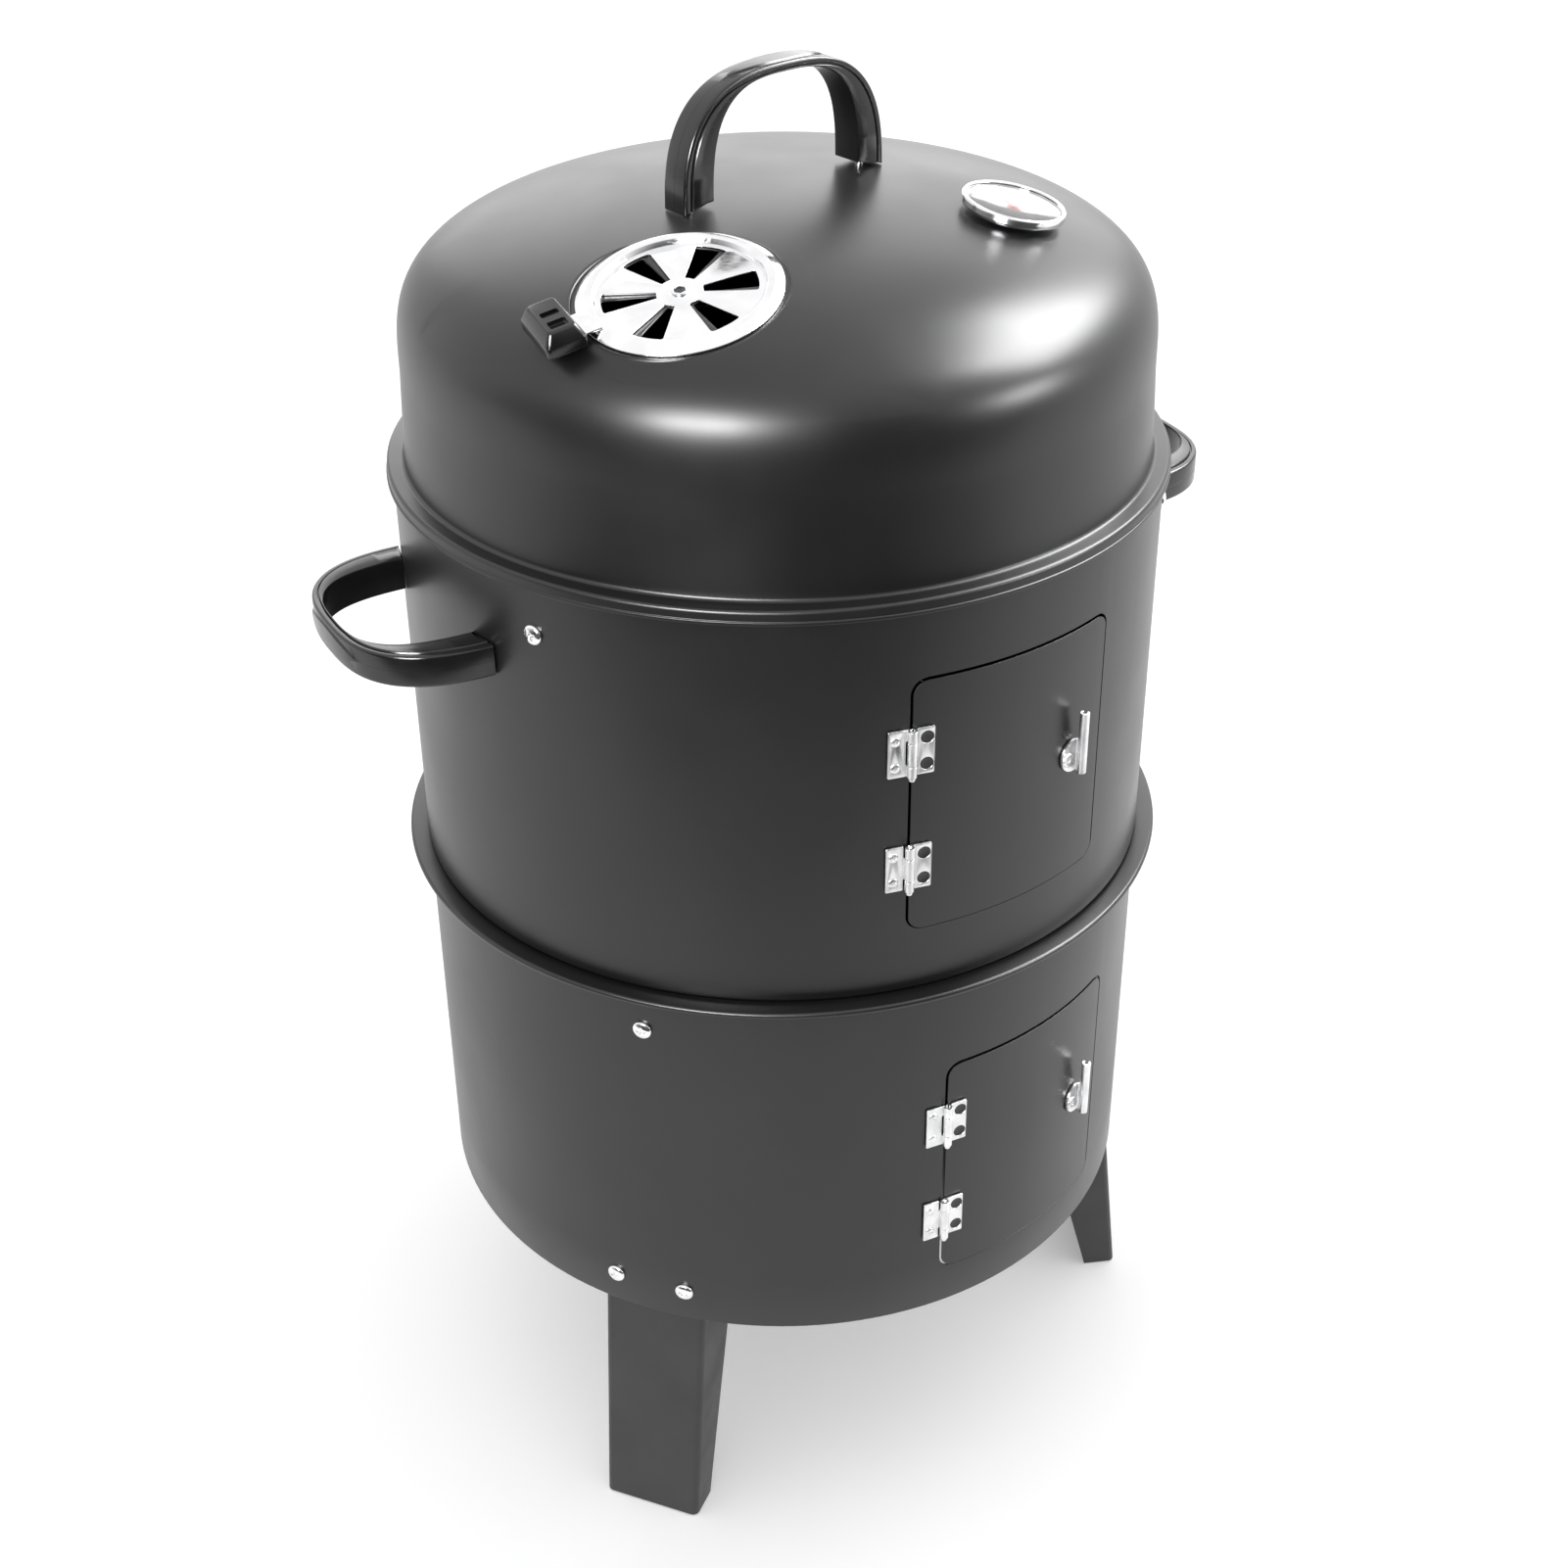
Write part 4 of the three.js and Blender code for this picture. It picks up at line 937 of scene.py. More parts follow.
def hinge_pin(name, end_z):
    """The pin, its lower end standing out of the knuckles."""
    radius = 1.15
    low = -HINGE_HEIGHT / 2
    profile = rounded([
        (0, low - 2.2, 0), (radius + 0.5, low - 2.2, 0.8), (radius + 0.5, low - 0.1, 0.2),
        (radius, low, 0), (radius, end_z, 0.3), (0, end_z, 0),
    ])
    return revolve(name, profile, ZINC, steps=24)


CUT = HINGE_HEIGHT / 4
PLAY = 0.15
END_KNUCKLES = [(-HINGE_HEIGHT / 2, -CUT - PLAY), (CUT + PLAY, HINGE_HEIGHT / 2)]
MIDDLE_KNUCKLE = [(-CUT + PLAY, CUT - PLAY)]
LEAVES = {
    (-1, "top"): hinge_leaf("frame_leaf_ends", -1, END_KNUCKLES),
    (1, "top"): hinge_leaf("door_leaf_middle", 1, MIDDLE_KNUCKLE),
    (-1, "low"): hinge_leaf("frame_leaf_middle", -1, MIDDLE_KNUCKLE),
    (1, "low"): hinge_leaf("door_leaf_ends", 1, END_KNUCKLES),
}
PIN = hinge_pin("hinge_pin", HINGE_HEIGHT / 2 - 0.7)
SHADE_PAINTED_DOOR_RIVETS = shade_painted_door_rivets("shade_painted_door_rivets")


def hinge_pair(level, azimuth, middle, frame_body, door_body):
    """The two hinges of a door; the lower one's knuckles are the other way round."""
    for place, z in (("top", middle + HINGE_SPREAD), ("low", middle - HINGE_SPREAD)):
        node = f"{level}_hinge_{place}"
        at = turn(azimuth) @ shift(0, 0, z)
        put(copy_of(LEAVES[-1, place], f"{node}_frame_plate"), at, frame_body, "zinc",
            f"{node}_frame_leaf_and_pin")
        put(copy_of(PIN, f"{node}_pin"), at @ shift(0, -HINGE_AXIS, 0), frame_body, "zinc")
        put(copy_of(LEAVES[1, place], f"{node}_door_plate"), at, door_body, "zinc",
            f"{node}_door_leaf")
        # the door rivets are coloured dark grey as painted shade for their wells
        put(copy_of(SHADE_PAINTED_DOOR_RIVETS, f"{node}_shade_painted_door_rivets"), at, door_body, "leg_paint")


# --- latches


def latch_sheet(name):
    """Turn handle bent from one sheet: half-round base, web standing out, rolled grip."""
    back = WALL + 2 * GAP + SHEET / 2
    base_left = -4.0
    base_middle = 4.9
    base_radius = 9
    web_x = 6.9
    bend = 1.5
    low, high = -7.8, 9.8
    grip_low, grip_high = -7, 27
    grip = back + 6 - SHEET / 2
    roll = 2.4 - SHEET / 2
    # x, distance out from the axis, lowest and highest point of the sheet there
    path = []
    for step in range(13):
        x = base_left + (web_x - bend - base_left) * step / 12
        reach = math.sqrt(max(base_radius ** 2 - (x - base_middle) ** 2, 0.04))
        path.append((x, back, 1 - reach, 1 + reach))
    for x, out in arc((web_x - bend, back + bend), bend, -math.pi / 2, 0, 5)[1:]:
        path.append((x, out, low, high))
    for step in range(1, 8):
        share = step / 8
        out = back + bend + (grip - back - bend) * share
        path.append((web_x, out, low + 0.8 * share, high + 16.6 * share ** 0.7))
    for x, out in arc((web_x - roll, grip), roll, 0, 5.2, 24)[1:]:
        path.append((x + 0.3, out, grip_low, grip_high))
    shares = [step / 12 for step in range(13)]
    rows = [[(x, -out, bottom + (top - bottom) * share) for x, out, bottom, top in path]
            for share in shares]
    return soften(thicken(grid(name, rows, ZINC, sharp=60), SHEET, 0), 0.3)


def latch_rivet(name):
    """Rivet through the door, its outer end set into a shallow dimpled head."""
    outer = WALL + 2 * GAP + SHEET
    inner = 191
    profile = rounded([
        (0, inner, 0), (4, inner, 0.4), (4, inner + 1.5, 0.3), (2.2, inner + 1.5, 0.3),
        (2.2, outer - 0.2, 0), (3.9, outer, 0.2), (3.3, outer + 1.0, 0.6),
        (1.2, outer + 1.1, 0.4), (0.8, outer + 0.5, 0.2), (0, outer + 0.5, 0),
    ])
    return revolve(name, profile, ZINC, steps=36)


def latch_tongue(name):
    """Flat steel tongue behind the door, pointing up when the latch is open."""
    outline = [(x, y + 15) for x, y in rounded_box(6, 21, 3)]
    return plate(name, outline, [circle(2.4, 24)], SHEET, ZINC, 0.3)


LATCH = latch_sheet("latch_sheet")
RIVET = latch_rivet("latch_rivet_steel")
TONGUE = latch_tongue("latch_tongue_steel")


def latch(level, azimuth, z):
    """A door's latch: handle and rivet outside, tongue inside."""
    body = f"{level}_latch"
    at = turn(azimuth) @ shift(0, 0, z)
    put(copy_of(LATCH, f"{level}_latch_bent_handle"), at, body, "zinc", f"{level}_latch_handle")
    put(copy_of(RIVET, f"{level}_latch_set_rivet"), at @ tip(90), body, "zinc",
        f"{level}_latch_rivet")
    put(copy_of(TONGUE, f"{level}_latch_flat_tongue"), on_wall(azimuth, TONGUE_OUT, 0, z), body,
        "zinc", f"{level}_latch_tongue")


def door_set(level, frame_body):
    """A door with its hinges and latch, placed by the joints that carry them."""
    body = f"{level}_door"
    hinge = azimuth_of(JOINTS[f"{level}_door_hinge"]["pos_m"])
    azimuth = hinge + DOOR_SPAN / 2 + math.degrees(DOOR_GAP / 2 / WALL)
    middle = JOINTS[f"{level}_door_hinge"]["pos_m"][2] / MM
    across = math.degrees(DOOR_SHIFT / WALL)
    panel = door_panel(f"{level}_door_panel", azimuth + across, middle - DOOR_DROP)
    put(panel, Matrix(), body, "enamel", body)
    hinge_pair(level, hinge, middle, frame_body, body)
    pivot = JOINTS[f"{level}_latch_turn"]["pos_m"]
    latch(level, azimuth_of(pivot), pivot[2] / MM)
    return azimuth, middle


# --- lid


def smooth_max(a, b, width):
    """The larger of two heights, with the corner between them rounded over a width."""
    overlap = max(width - abs(a - b), 0)
    return max(a, b) + overlap * overlap / (4 * width)


VENT_PLACE = seat_place(JOINTS["vent_damper_turn"])
VENT_AZIMUTH = azimuth_of(JOINTS["vent_damper_turn"]["pos_m"])
DOME_ROWS = 52
WINDOW_ROWS = (18, 46)
WINDOW_COLUMNS = 44
LID_COLUMNS = 180
SPOKES = 2 * (WINDOW_COLUMNS + WINDOW_ROWS[1] - WINDOW_ROWS[0])


def dome_point(row):
    """(radius, z) of the dome's section at a row, from the shoulder (0) to the crown."""
    angle = math.pi / 2 * (row / DOME_ROWS) ** 1.9
    radius = SHOULDER * max(math.cos(angle), 0) ** (2 / RADIUS_POWER)
    height = DOME_RISE * math.sin(angle) ** (2 / HEIGHT_POWER)
    return (0 if row == DOME_ROWS else radius), SHOULDER_Z + height


def outside_dome(point):
    """Whether a point in metres lies above the dome's superellipse."""
    radius = math.hypot(point.x, point.y) / MM / SHOULDER
    height = max(point.z / MM - SHOULDER_Z, 0) / DOME_RISE
    return radius ** RADIUS_POWER + height ** HEIGHT_POWER > 1


def dome_height(x, y):
    """Height of the dome over the vent's seat plane, along the vent's axis."""
    low, high = -70.0, 20.0
    for _ in range(30):
        middle = (low + high) / 2
        if outside_dome(VENT_PLACE @ (Vector((x, y, middle)) * MM)):
            high = middle
        else:
            low = middle
    return high


def lid_surface(x, y):
    """Point of the lid's outer face over a point of the vent's seat plane, in millimetres."""
    beyond = max(math.hypot(x, y) - SEAT_RADIUS, 0) * SEAT_DRAFT
    height = SEAT_LIFT
    if beyond > 0:
        width = min(beyond, 2.5)
        filled = smooth_max(dome_height(x, y), SEAT_LIFT - beyond, width)
        height = -smooth_max(-filled, -SEAT_LIFT - beyond, width)
    return (VENT_PLACE @ (Vector((x, y, height)) * MM)) / MM


def window_edge():
    """Row and column of each point round the window that the vent's patch fills, in order."""
    low, high = WINDOW_ROWS
    start = -WINDOW_COLUMNS // 2
    end = WINDOW_COLUMNS // 2
    ring = [(low, column) for column in range(start, end)]
    ring += [(row, end) for row in range(low, high)]
    ring += [(high, column) for column in range(end, start, -1)]
    ring += [(row, start) for row in range(high, low, -1)]
    return ring


def lid_grid_point(row, column):
    """Point of the dome at a row and a column, counted from the vent's azimuth."""
    radius, z = dome_point(row)
    return around(radius, VENT_AZIMUTH + column * 360 / LID_COLUMNS, z)


def vent_patch():
    """Rows of points from the rivet hole out to the window's edge, one spoke per edge point."""
    radii = [2.6, 6, SLOT_INNER, 19, 28, SLOT_OUTER, 42, 46, 48.6, 49.5]
    radii += [SEAT_RADIUS + 0.25 * step for step in range(15)] + [54.2, 55.2, 56.6, 58.4, 60.5]
    inverse = VENT_PLACE.inverted()
    edge = [Vector(lid_grid_point(*place)) for place in window_edge()]
    flat = [(inverse @ (point * MM)) / MM for point in edge]
    # the slots' edges fall on spokes, and the first spoke is the one nearest the first edge point
    first = -math.radians(LID_SLOT_TURN - SLOT_ANGLE / 2)
    near = round((math.atan2(flat[0].y, flat[0].x) - first) / TAU * SPOKES)
    angles = [first + TAU * (near + spoke) / SPOKES for spoke in range(SPOKES)]
    rows = [[lid_surface(radius * math.cos(a), radius * math.sin(a)) for a in angles]
            for radius in radii]
    spread = 7
    for step in range(1, spread):
        share = step / spread
        row = []
        for a, target in zip(angles, flat):
            x = radii[-1] * math.cos(a) * (1 - share) + target.x * share
            y = radii[-1] * math.sin(a) * (1 - share) + target.y * share
            row.append(lid_surface(x, y))
        rows.append(row)
    return rows + [edge], near


def in_slot(spoke):
    """Whether the cell after a spoke lies in one of the lid's vent slots."""
    pitch = SPOKES // SLOT_COUNT
    return spoke % pitch >= pitch - round(SPOKES * SLOT_ANGLE / 360)


def lid_shell():
    """Rim, wall and dome in one sheet, with the vent's pressed seat and slots."""
    rim = rounded([
        (LID_RIM - 0.7, LID_BASE + 0.2, 0), (LID_RIM, LID_BASE + 0.2, 0.4),
        (LID_RIM, LID_BASE + 1.8, 0.5), (LID_RIM - 0.6, LID_BASE + 2.2, 0.4),
        (LID_RIM - 0.6, LID_RIM_TOP, 2.0), (LID_WALL - 0.2, LID_RIM_TOP, 2.2),
        (SHOULDER, SHOULDER_Z, 0),
    ], 5, closed=False)
    profile = rim + [dome_point(row) for row in range(1, DOME_ROWS + 1)]
    step = 360 / LID_COLUMNS
    rows = [[around(radius, VENT_AZIMUTH + column * step, z) for column in range(LID_COLUMNS)]
            for radius, z in profile]
    first = len(rim) - 1
    half = WINDOW_COLUMNS // 2
    slot_rows = (2, 3, 4)
    patch, near = vent_patch()

    def outside_window(row, column):
        centred = column if column < LID_COLUMNS / 2 else column - LID_COLUMNS
        in_rows = WINDOW_ROWS[0] <= row - first < WINDOW_ROWS[1]
        return not (in_rows and -half <= centred < half)

    def outside_slots(row, spoke):
        return not (row in slot_rows and in_slot(spoke + near))

    points = flattened(rows)
    faces = cells(LID_COLUMNS, len(rows), keep=outside_window)
    faces += [[corner + len(points) for corner in face]
              for face in cells(SPOKES, len(patch), keep=outside_slots)]
    shell = mesh_piece("lid_dome", points + flattened(patch), faces, ENAMEL, 50)
    put(thicken(shell, SHEET), Matrix(), "lid", "enamel", "lid_shell")


# --- handles


def handle_station(angle):
    """Outer and inner points of the arch at an angle of its section."""
    sine = max(math.sin(angle), 0)
    cosine = math.cos(angle)
    sign = math.copysign(1, cosine)
    outer = Vector((sign * HANDLE_SPAN * abs(cosine) ** (2 / HANDLE_POWER),
                    HANDLE_RISE * sine ** (2 / HANDLE_POWER)))
    inner = Vector((sign * HANDLE_INNER_SPAN * abs(cosine) ** (2 / HANDLE_INNER_POWER),
                    HANDLE_INNER_RISE * sine ** (2 / HANDLE_INNER_POWER)))
    if sine < 1e-6:
        inner = Vector((sign * HANDLE_INNER_SPAN, HANDLE_FOOT_SLANT))
    return outer, inner


def handle_section(depth, along):
    """Half of a section as (across, in from the outer face): pad, band, groove, wider web."""
    web = HANDLE_WIDTH / 2
    half = web - 0.6
    pad = PAD_HALF_WIDTH * max(1 - (along / PAD_REACH) ** 2, 0)
    rise = PAD_RISE * min(pad / 1.6, 1)
    band = min(HANDLE_BAND, depth - 1.5)
    lip = min(depth - band, 3)
    return [
        (0, 0.9 - rise), (0.5 * pad, 0.92 - rise), (pad + 0.02, 0.97 - rise),
        (pad + 0.75, 0.98), (half - 1.6, 1.0), (half - 0.7, 1.15), (half - 0.15, 1.7),
        (half, 2.3), (half, band - 0.4), (half - 0.15, band), (half - 0.9, band + 0.15 * lip),
        (half - 0.9, band + 0.3 * lip), (web - 0.3, band + 0.42 * lip), (web, band + 0.55 * lip),
        (web, depth - 0.25 * lip), (web - 0.3, depth - 0.08 * lip), (web - 1, depth), (0, depth),
    ]


def arch_handle(name):
    """Moulded arch on its feet at z = 0, spanning x, its stations closest near the feet."""
    quarter = [0] + [0.02 + (math.pi / 2 - 0.02) * (step / 30) ** 1.25 for step in range(31)]
    angles = quarter + [math.pi - angle for angle in reversed(quarter[:-1])]
    stations = [handle_station(angle) for angle in angles]
    lengths = [0.0]
    for one, two in zip(stations, stations[1:]):
        lengths.append(lengths[-1] + (two[0] - one[0]).length)
    crown = lengths[len(quarter) - 1]
    rings = []
    for (outer, inner), length in zip(stations, lengths):
        inward = (inner - outer).normalized()
        half = handle_section((inner - outer).length, length - crown)
        outline = half + [(-across, depth) for across, depth in reversed(half[1:-1])]
        places = [(outer + inward * depth, across) for across, depth in outline]
        rings.append([(point.x, across, point.y) for point, across in places])
    return stack(name, rings, PLASTIC, 38)


def handle_screw(name, inner_face):
    """Screw from inside the shell up into a handle's foot."""
    profile = rounded([
        (0, inner_face - 2.4, 0), (4.2, inner_face - 2.4, 0.9), (4.8, inner_face, 0.2),
        (2.2, inner_face, 0), (2.2, 8, 0.3), (0, 8, 0),
    ])
    return revolve(name, profile, CHROME, steps=28)


HANDLE = arch_handle("arch_handle")


def handles():
    """The two side handles and the lid's, each with two screws from inside the shell."""
    inside_wall = math.sqrt((WALL - SHEET) ** 2 - HANDLE_SCREWS ** 2)
    for side, azimuth in SIDE_HANDLES.items():
        node = f"{side}_side_handle"
        middle = (low_z(node) + high_z(node)) / 2
        at = on_wall(azimuth, SIDE_HANDLE_FOOT, 0, middle)
        place_handle(node, at, "upper_chamber", inside_wall - SIDE_HANDLE_FOOT - 2)
    at = turn(LID_HANDLE_TURN) @ shift(0, 0, high_z("lid_handle") - HANDLE_RISE)
    place_handle("lid_handle", at, "lid", LID_SCREW_FACE)


def place_handle(node, at, body, inner_face):
    """One handle and its screws, whose heads bear on the shell's inner face."""
    put(copy_of(HANDLE, f"{node}_moulding"), at, body, "handle_plastic", node)
    for end, side in (("a", -1), ("b", 1)):
        screw = handle_screw(f"{node}_steel_screw_{end}", inner_face)
        put(screw, at @ shift(side * HANDLE_SCREWS, 0, 0), body, "chrome",
            f"{node}_screw_{end}")


# --- vent damper


def wedge(middle, inner, outer, span, corner):
    """A wedge slot with rounded corners, from one radius to another."""
    corners = []
    for step in range(5):
        angle = middle - span / 2 + span * step / 4
        corners.append((outer * math.cos(angle), outer * math.sin(angle),
                        corner if step in (0, 4) else 0))
    for step in range(5):
        angle = middle + span / 2 - span * step / 4
        corners.append((inner * math.cos(angle), inner * math.sin(angle),
                        corner * 0.5 if step in (0, 4) else 0))
    return rounded(corners, 4)


def damper():
    """Pressed chrome disc: slotted flat centre, raised ring, sloping edge and a tab."""
    first = -math.radians(DAMPER_SLOT_TURN)
    slots = [wedge(first - TAU * index / SLOT_COUNT, SLOT_INNER, SLOT_OUTER,
                   math.radians(SLOT_ANGLE), 1.2) for index in range(SLOT_COUNT)]
    holes = [*slots, circle(2.5, 24)]
    centre = plate("centre", circle(39.2, 96), holes, DAMPER_SHEET, CHROME, 0.2)
    centre.matrix_world = shift(0, 0, DAMPER_SHEET / 2)
    profile = rounded([
        (38.9, 0.0, 0.1), (39.6, 0.0, 0.3), (41.2, 2.5, 0.8), (43.0, 2.6, 1.0),
        (47.6, 0.0, 0.2), (48.2, 0.05, 0.2), (48.2, 0.8, 0.3), (43.7, 3.5, 1.4),
        (40.3, 3.5, 1.1), (38.8, 0.9, 0.4),
    ])
    ring = revolve("ring", profile, CHROME, steps=144)
    near, far, half = 42.6, 67, 8.5
    outline = [(near, -half), (far, -half), (far, half), (near, half)]
    tab = plate("tab", outline, [], DAMPER_SHEET, CHROME, 0.15)
    tab.matrix_world = turn(TAB_TURN) @ shift(0, 0, TAB_Z)
    return merged("vent_damper_disc", centre, ring, tab)


def damper_knob():
    """Plastic thumb grip over the tab: tapered block with two pockets in its top."""
    outward = KNOB_DEPTH / 2
    across = KNOB_WIDTH / 2
    # height, half-size outward, half-size across
    levels = [(KNOB_LOW, outward - 0.7, across - 0.7), (KNOB_LOW + 0.7, outward, across),
              (KNOB_SHOULDER, outward, across), (KNOB_HIGH - 1, outward - 2.7, across - 2.3),
              (KNOB_HIGH, outward - 3.4, across - 3)]
    rings = [[(KNOB_MIDDLE + x, y, z) for x, y in rounded_box(half_x, half_y, 2.2)]
             for z, half_x, half_y in levels]
    body = settled(soften(stack("vent_damper_grip", rings, PLASTIC, 20), 0.6, 20, 3))
    pockets = []
    for offset, half in ((7.4, 2.9), (-1.6, 2.0)):
        pocket = plate("pocket", rounded_box(4.4, half, 0.7), [], 6, PLASTIC, 0.3)
        pocket.matrix_world = shift(KNOB_MIDDLE, offset, 15)
        pockets.append(pocket)
    return carve(body, *pockets)


def vent():
    """The damper with its knob, and the rivet it turns on, a hexagonal socket in its head whose floor
    is a black disc of painted shade.
    """
    at = VENT_PLACE @ shift(0, 0, SEAT_LIFT + GAP)
    put(damper(), at, "vent_damper", "chrome", "vent_damper")
    put(damper_knob(), at @ turn(TAB_TURN), "vent_damper", "handle_plastic", "vent_damper_knob")
    profile = rounded([(0, -4.4, 0), (4.4, -4.4, 0.4), (4.4, -1.9, 0.4), (2.2, -1.9, 0.2),
                       (2.2, 1.0, 0), (0, 1.0, 0)])
    put(revolve("vent_rivet_steel", profile, CHROME, steps=36), at, "lid", "chrome", "vent_rivet")
    head = plate("vent_rivet_head", circle(3.9, 36), [hexagon(2.9)], 1.0, CHROME, 0.25)
    put(head, at @ shift(0, 0, 1.6), "lid", "chrome", "vent_rivet")
    # thin black enamel disc at the floor of the hexagonal socket: painted shade in the socket
    floor = plate("vent_rivet_socket_shade", circle(3.4, 24), [], 0.1, ENAMEL, 0.02)
    put(floor, at @ shift(0, 0, 1.1), "lid", "enamel")


# --- thermometer


def dial_marks():
    """Scale ticks and generic numbers, printed as thin raised shapes."""
    marks = []
    for index in range(DIAL_TICKS + 1):
        long_tick = index % 5 == 0
        length = 3.4 if long_tick else 1.8
        outline = rounded_box(length / 2, 0.28 if long_tick else 0.16, 0.05)
        tick = plate("tick", outline, [], 0.12, PRINT, 0.02)
        angle = DIAL_START - index * DIAL_SWEEP / DIAL_TICKS
        tick.matrix_world = turn(angle) @ shift(21.6 - length / 2, 0, DIAL_PRINT_Z)
        marks.append(tick)
    for index in range(DIAL_NUMBERS):
        angle = math.radians(DIAL_START - index * DIAL_SWEEP / (DIAL_NUMBERS - 1))
        marks.append(dial_number(str(50 * (index + 1)), angle))
    return merged("thermometer_scale", *marks)


def dial_number(digits, angle):
    """One upright number beside its tick."""
    writing = bpy.data.curves.new("number", "FONT")
    writing.body = digits
    writing.size = 4.2 * MM
    writing.extrude = 0.05 * MM
    writing.align_x = "CENTER"
    writing.align_y = "CENTER"
    number = mesh_object("number", drawn_mesh(writing), PRINT)
    number.matrix_world = shift(14.6 * math.cos(angle), 14.6 * math.sin(angle), DIAL_PRINT_Z)
    return number


def thermometer_pointer():
    """Red needle with its hub, pointing at the first mark of the scale."""
    outline = [(-6, -1.1), (-6, 1.1), (17, 0.25), (17, -0.25)]
    red = pointer_red()
    needle = plate("needle", outline, [], 0.5, red, 0.12)
    needle.matrix_world = turn(DIAL_START) @ shift(0, 0, DIAL_TOP + 0.6)
    profile = rounded([(0, 3.3, 0), (2.5, 3.3, 0.2), (2.3, 4.1, 0.4), (0, 4.1, 0)])
    return merged("thermometer_needle", needle, revolve("hub", profile, red, steps=32))


def thermometer():
    """Case, dial, glass, stem, nut and pointer on the thermometer's own axis."""
    at = seat_place(JOINTS["thermometer_pointer_turn"], THERMOMETER_LIFT)
    case = rounded([
        (3.4, 0.6, 0.1), (23, 0.6, 0.4), (23, 1.8, 0.4), (25.6, 2.1, 0.4), (26, 2.9, 0.4),
        (26, 5.7, 1.0), (25.1, 6.6, 0.5), (24.1, 6.3, 0.2), (23.6, 5.75, 0.1), (24.0, 5.7, 0),
        (24.0, 1.9, 0), (3.4, 1.9, 0.1),
    ])
    dial = rounded([(0, 2.3, 0), (23.7, 2.3, 0.1), (23.7, DIAL_TOP, 0.1), (0, DIAL_TOP, 0)])
    pane = rounded([(0, 4.6, 0), (23.4, 4.6, 0.1), (23.4, 5.2, 0.1), (12, 5.5, 0), (0, 5.6, 0)])
    stem = rounded([(0, -60, 0), (1.8, -60, 0.8), (1.8, -14, 0.5), (2.9, -12.6, 0.3),
                    (2.9, 2, 0.1), (0, 2, 0)])
    put(revolve("thermometer_bezel", case, CHROME, steps=96), at, "lid", "chrome",
        "thermometer_case")
    put(revolve("thermometer_dial_plate", dial, dial_face(), steps=96), at, "lid", "dial",
        "thermometer_dial")
    put(dial_marks(), at, "lid", "dial")
    put(revolve("thermometer_pane", pane, glass(), steps=96), at, "lid", "glass",
        "thermometer_glass")
    put(revolve("thermometer_probe", stem, CHROME, steps=32), at, "lid", "chrome",
        "thermometer_stem")
    nut = hex_nut("thermometer_hex_nut", 13.5, 4, 3.7, ZINC)
    put(nut, at @ shift(0, 0, -6.5), "lid", "zinc", "thermometer_nut")
    put(thermometer_pointer(), at, "thermometer_pointer", "pointer_red", "thermometer_pointer")


# --- the whole smoker


def smoker():
    """Every piece; the pieces that others were copied from are removed at the end."""
    lower_chamber(*door_set("lower", "base"))
    upper_chamber(*door_set("upper", "upper_chamber"))
    leg_set()
    bowl_bearing = high_z("water_bowl") - GAP - SHEET
    lower_bearing = low_z("lower_cooking_grate") - GAP
    upper_bearing = low_z("upper_cooking_grate") - GAP
    bracket_set("lower", "base", 0.9, LOWER_TOP - 26,
                [(BOWL_REACH, bowl_bearing), (GRATE_REACH, lower_bearing)])
    bracket_set("upper", "upper_chamber", -13.4, upper_bearing + 7.2,
                [(GRATE_REACH, upper_bearing)])
    bowl("charcoal_pressed_bowl", "charcoal_bowl", 170, 176, "charcoal_bowl")
    bowl("water_pressed_bowl", "water_bowl", 138, 165, "water_bowl")
    grate("charcoal_wire_grate", "charcoal_grate", "charcoal_grate")
    grate("lower_wire_grate", "lower_cooking_grate", "lower_cooking_grate")
    grate("upper_wire_grate", "upper_cooking_grate", "upper_cooking_grate")
    lid_shell()
    handles()
    vent()
    thermometer()
    for template in (WALL_SCREW, NUT, HINGE_HEAD, PIN, SHADE_PAINTED_DOOR_RIVETS, LATCH, RIVET, TONGUE, HANDLE,
                     *LEAVES.values()):
        bpy.data.objects.remove(template)


# --- studio


def studio_floor():
    """Pale floor, a little uneven, far behind the smoker and close in front of it."""
    steps = 40
    size = 9000
    front = -900
    rows = []
    for deep in range(steps + 1):
        y = front + deep / steps * size
        places = [((wide / steps - 0.5) * size, y) for wide in range(steps + 1)]
        rows.append([(x, y, -0.8 + 0.5 * noise(Vector((x, y, 0)) / 900)) for x, y in places])
    grid("studio_floor", rows, floor_paint())


def softbox(name, azimuth, elevation, distance, size, radiance):
    """A lamp that only glossy surfaces reflect, aimed at the lid's rim from a direction."""
    level = math.radians(elevation)
    aim = Vector(around(math.cos(level), azimuth, math.sin(level)))
    light = bpy.data.lights.new(name, "AREA")
    light.shape = "RECTANGLE"
    light.size, light.size_y = size
    # watts that give the lamp's face the radiance
    light.energy = radiance * math.pi * size[0] * size[1]
    lamp = linked(name, light)
    lamp.location = Vector((0, 0, UPPER_TOP * MM)) + aim * distance
    lamp.rotation_mode = "QUATERNION"
    lamp.rotation_quaternion = aim.to_track_quat("Z", "Y")
    lamp.visible_camera = False
    lamp.visible_diffuse = False


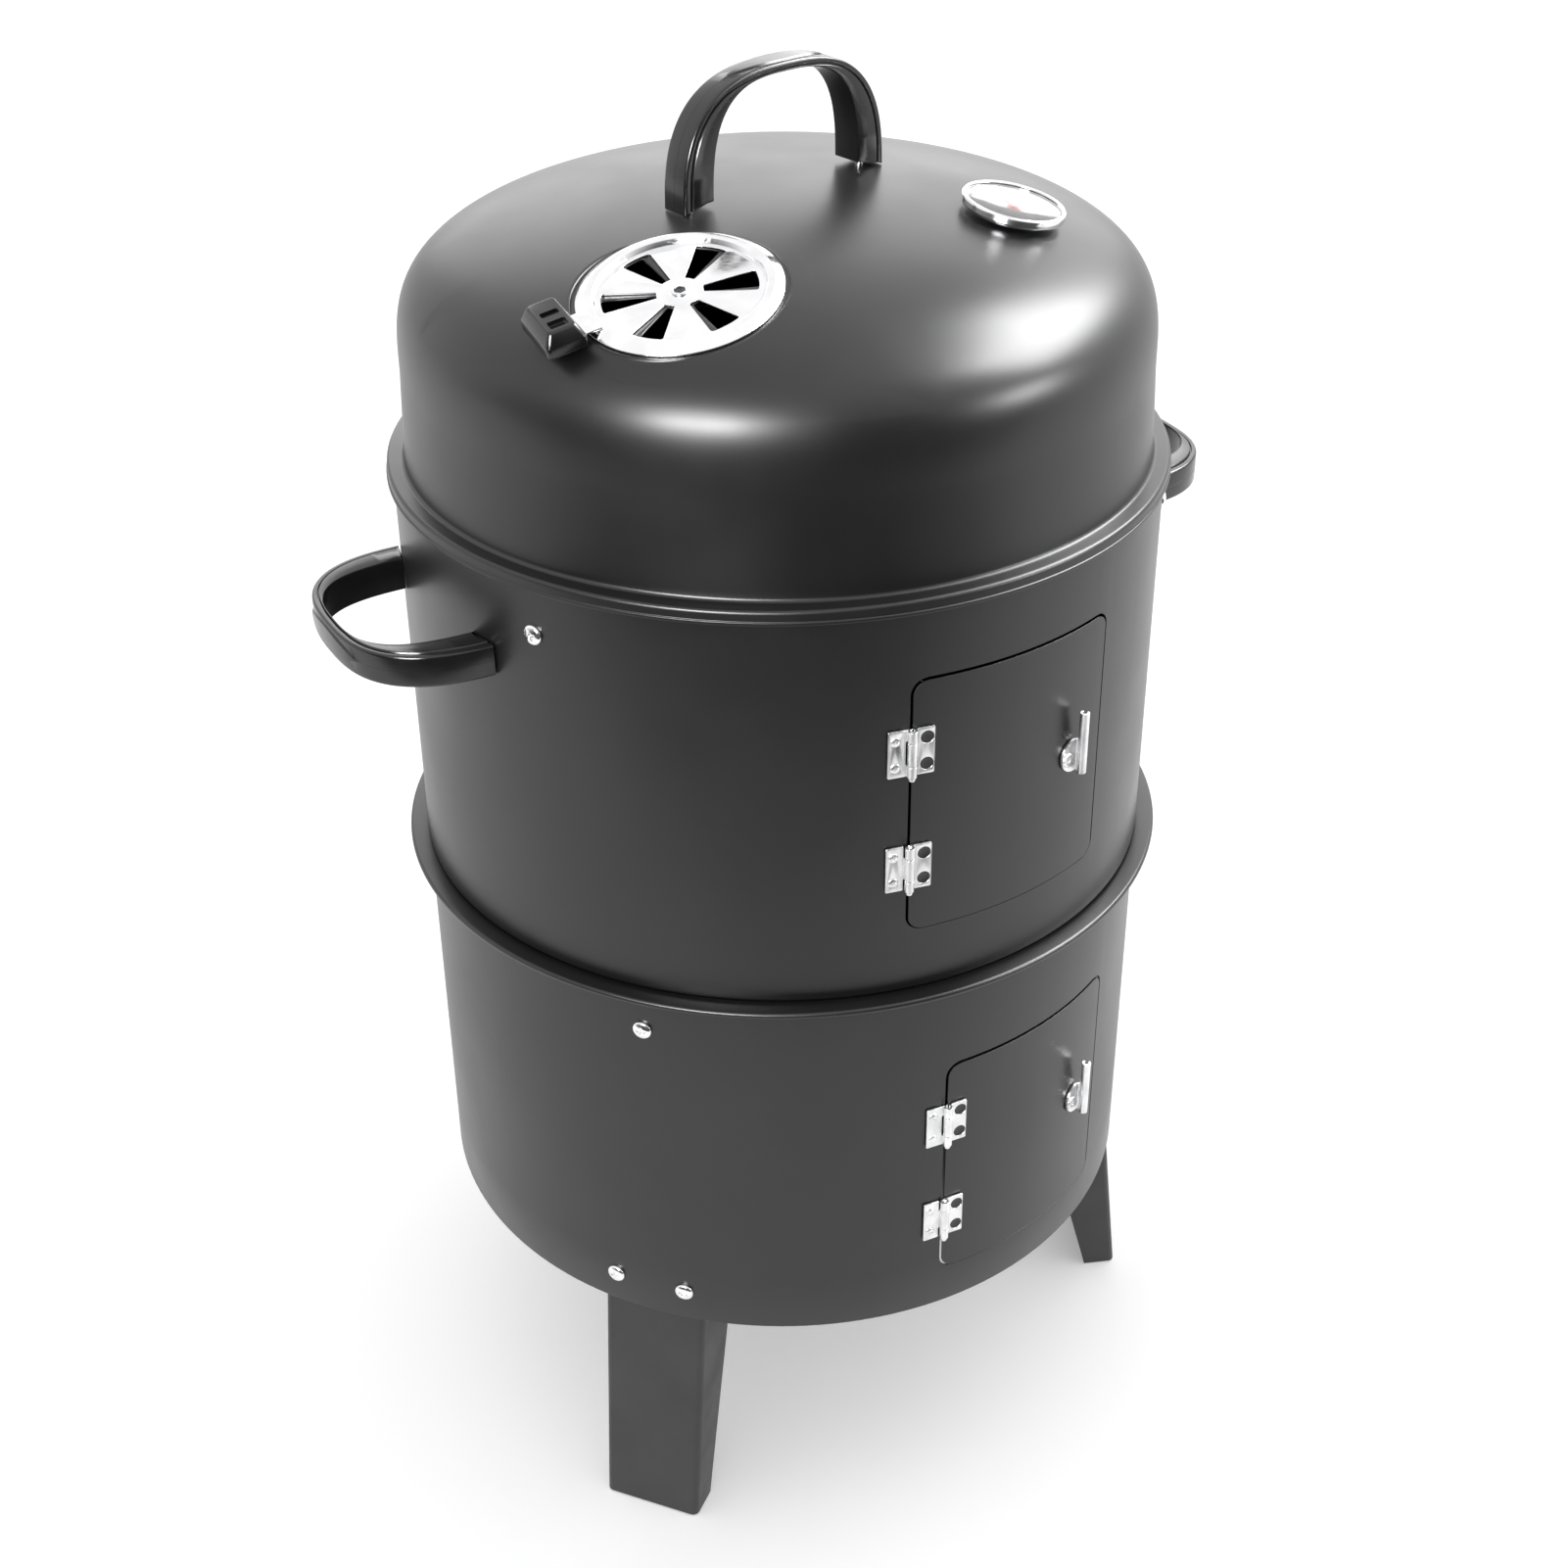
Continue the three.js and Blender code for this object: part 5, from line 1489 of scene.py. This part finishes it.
def studio_light():
    """A white room, darker low down towards the front, and four lamps for the highlights."""
    world = bpy.data.worlds.new("studio")
    world.use_nodes = True
    nodes = world.node_tree.nodes
    links = world.node_tree.links
    facing = nodes.new("ShaderNodeVectorMath")
    facing.operation = "DOT_PRODUCT"
    facing.inputs[1].default_value = (0, 0.8, 1)
    links.new(nodes.new("ShaderNodeTexCoord").outputs["Generated"], facing.inputs[0])
    room = nodes.new("ShaderNodeMapRange")
    room.interpolation_type = "SMOOTHSTEP"
    set_range(room, (-0.6, 0.3), (0.08, 1.12))
    links.new(facing.outputs["Value"], room.inputs["Value"])
    # the camera itself sees plain white behind the floor
    seen = nodes.new("ShaderNodeMix")
    links.new(nodes.new("ShaderNodeLightPath").outputs["Is Camera Ray"], seen.inputs["Factor"])
    links.new(room.outputs["Result"], seen.inputs["A"])
    seen.inputs["B"].default_value = 1.0
    links.new(seen.outputs["Result"], nodes["Background"].inputs["Strength"])
    nodes["Background"].inputs["Color"].default_value = (1, 1, 1, 1)
    bpy.context.scene.world = world
    bpy.context.scene.view_settings.view_transform = "Standard"
    softbox("back_bank", 180, 22, 2.6, (3.0, 1.5), 1.5)
    softbox("right_bank", 110, 42, 2.4, (1.9, 1.2), 20)
    softbox("right_box", 73, 12, 2.2, (0.8, 0.4), 18)
    softbox("front_box", -21, 20, 1.9, (0.7, 0.5), 58)


def camera():
    """The photograph's viewpoint, fitted to its rims and walls: above the front, tilted down."""
    place = Vector((0, -1.1376, 1.0700))
    yaw, pitch, roll = 0.0011, 0.5527, -0.0087
    level = math.cos(pitch)
    ahead = Vector((math.sin(yaw) * level, math.cos(yaw) * level, -math.sin(pitch)))
    right = Vector((math.cos(yaw), -math.sin(yaw), 0))
    up = right.cross(ahead)
    across = right * math.cos(roll) + up * math.sin(roll)
    upward = up * math.cos(roll) - right * math.sin(roll)
    lens = bpy.data.cameras.new("camera")
    lens.sensor_width = 36
    lens.lens = 53.86
    lens.clip_end = 30
    eye = linked("camera", lens)
    rotation = Matrix((across, upward, -ahead)).transposed().to_4x4()
    eye.matrix_world = Matrix.Translation(place) @ rotation
    bpy.context.scene.camera = eye


smoker()
studio_floor()
studio_light()
camera()
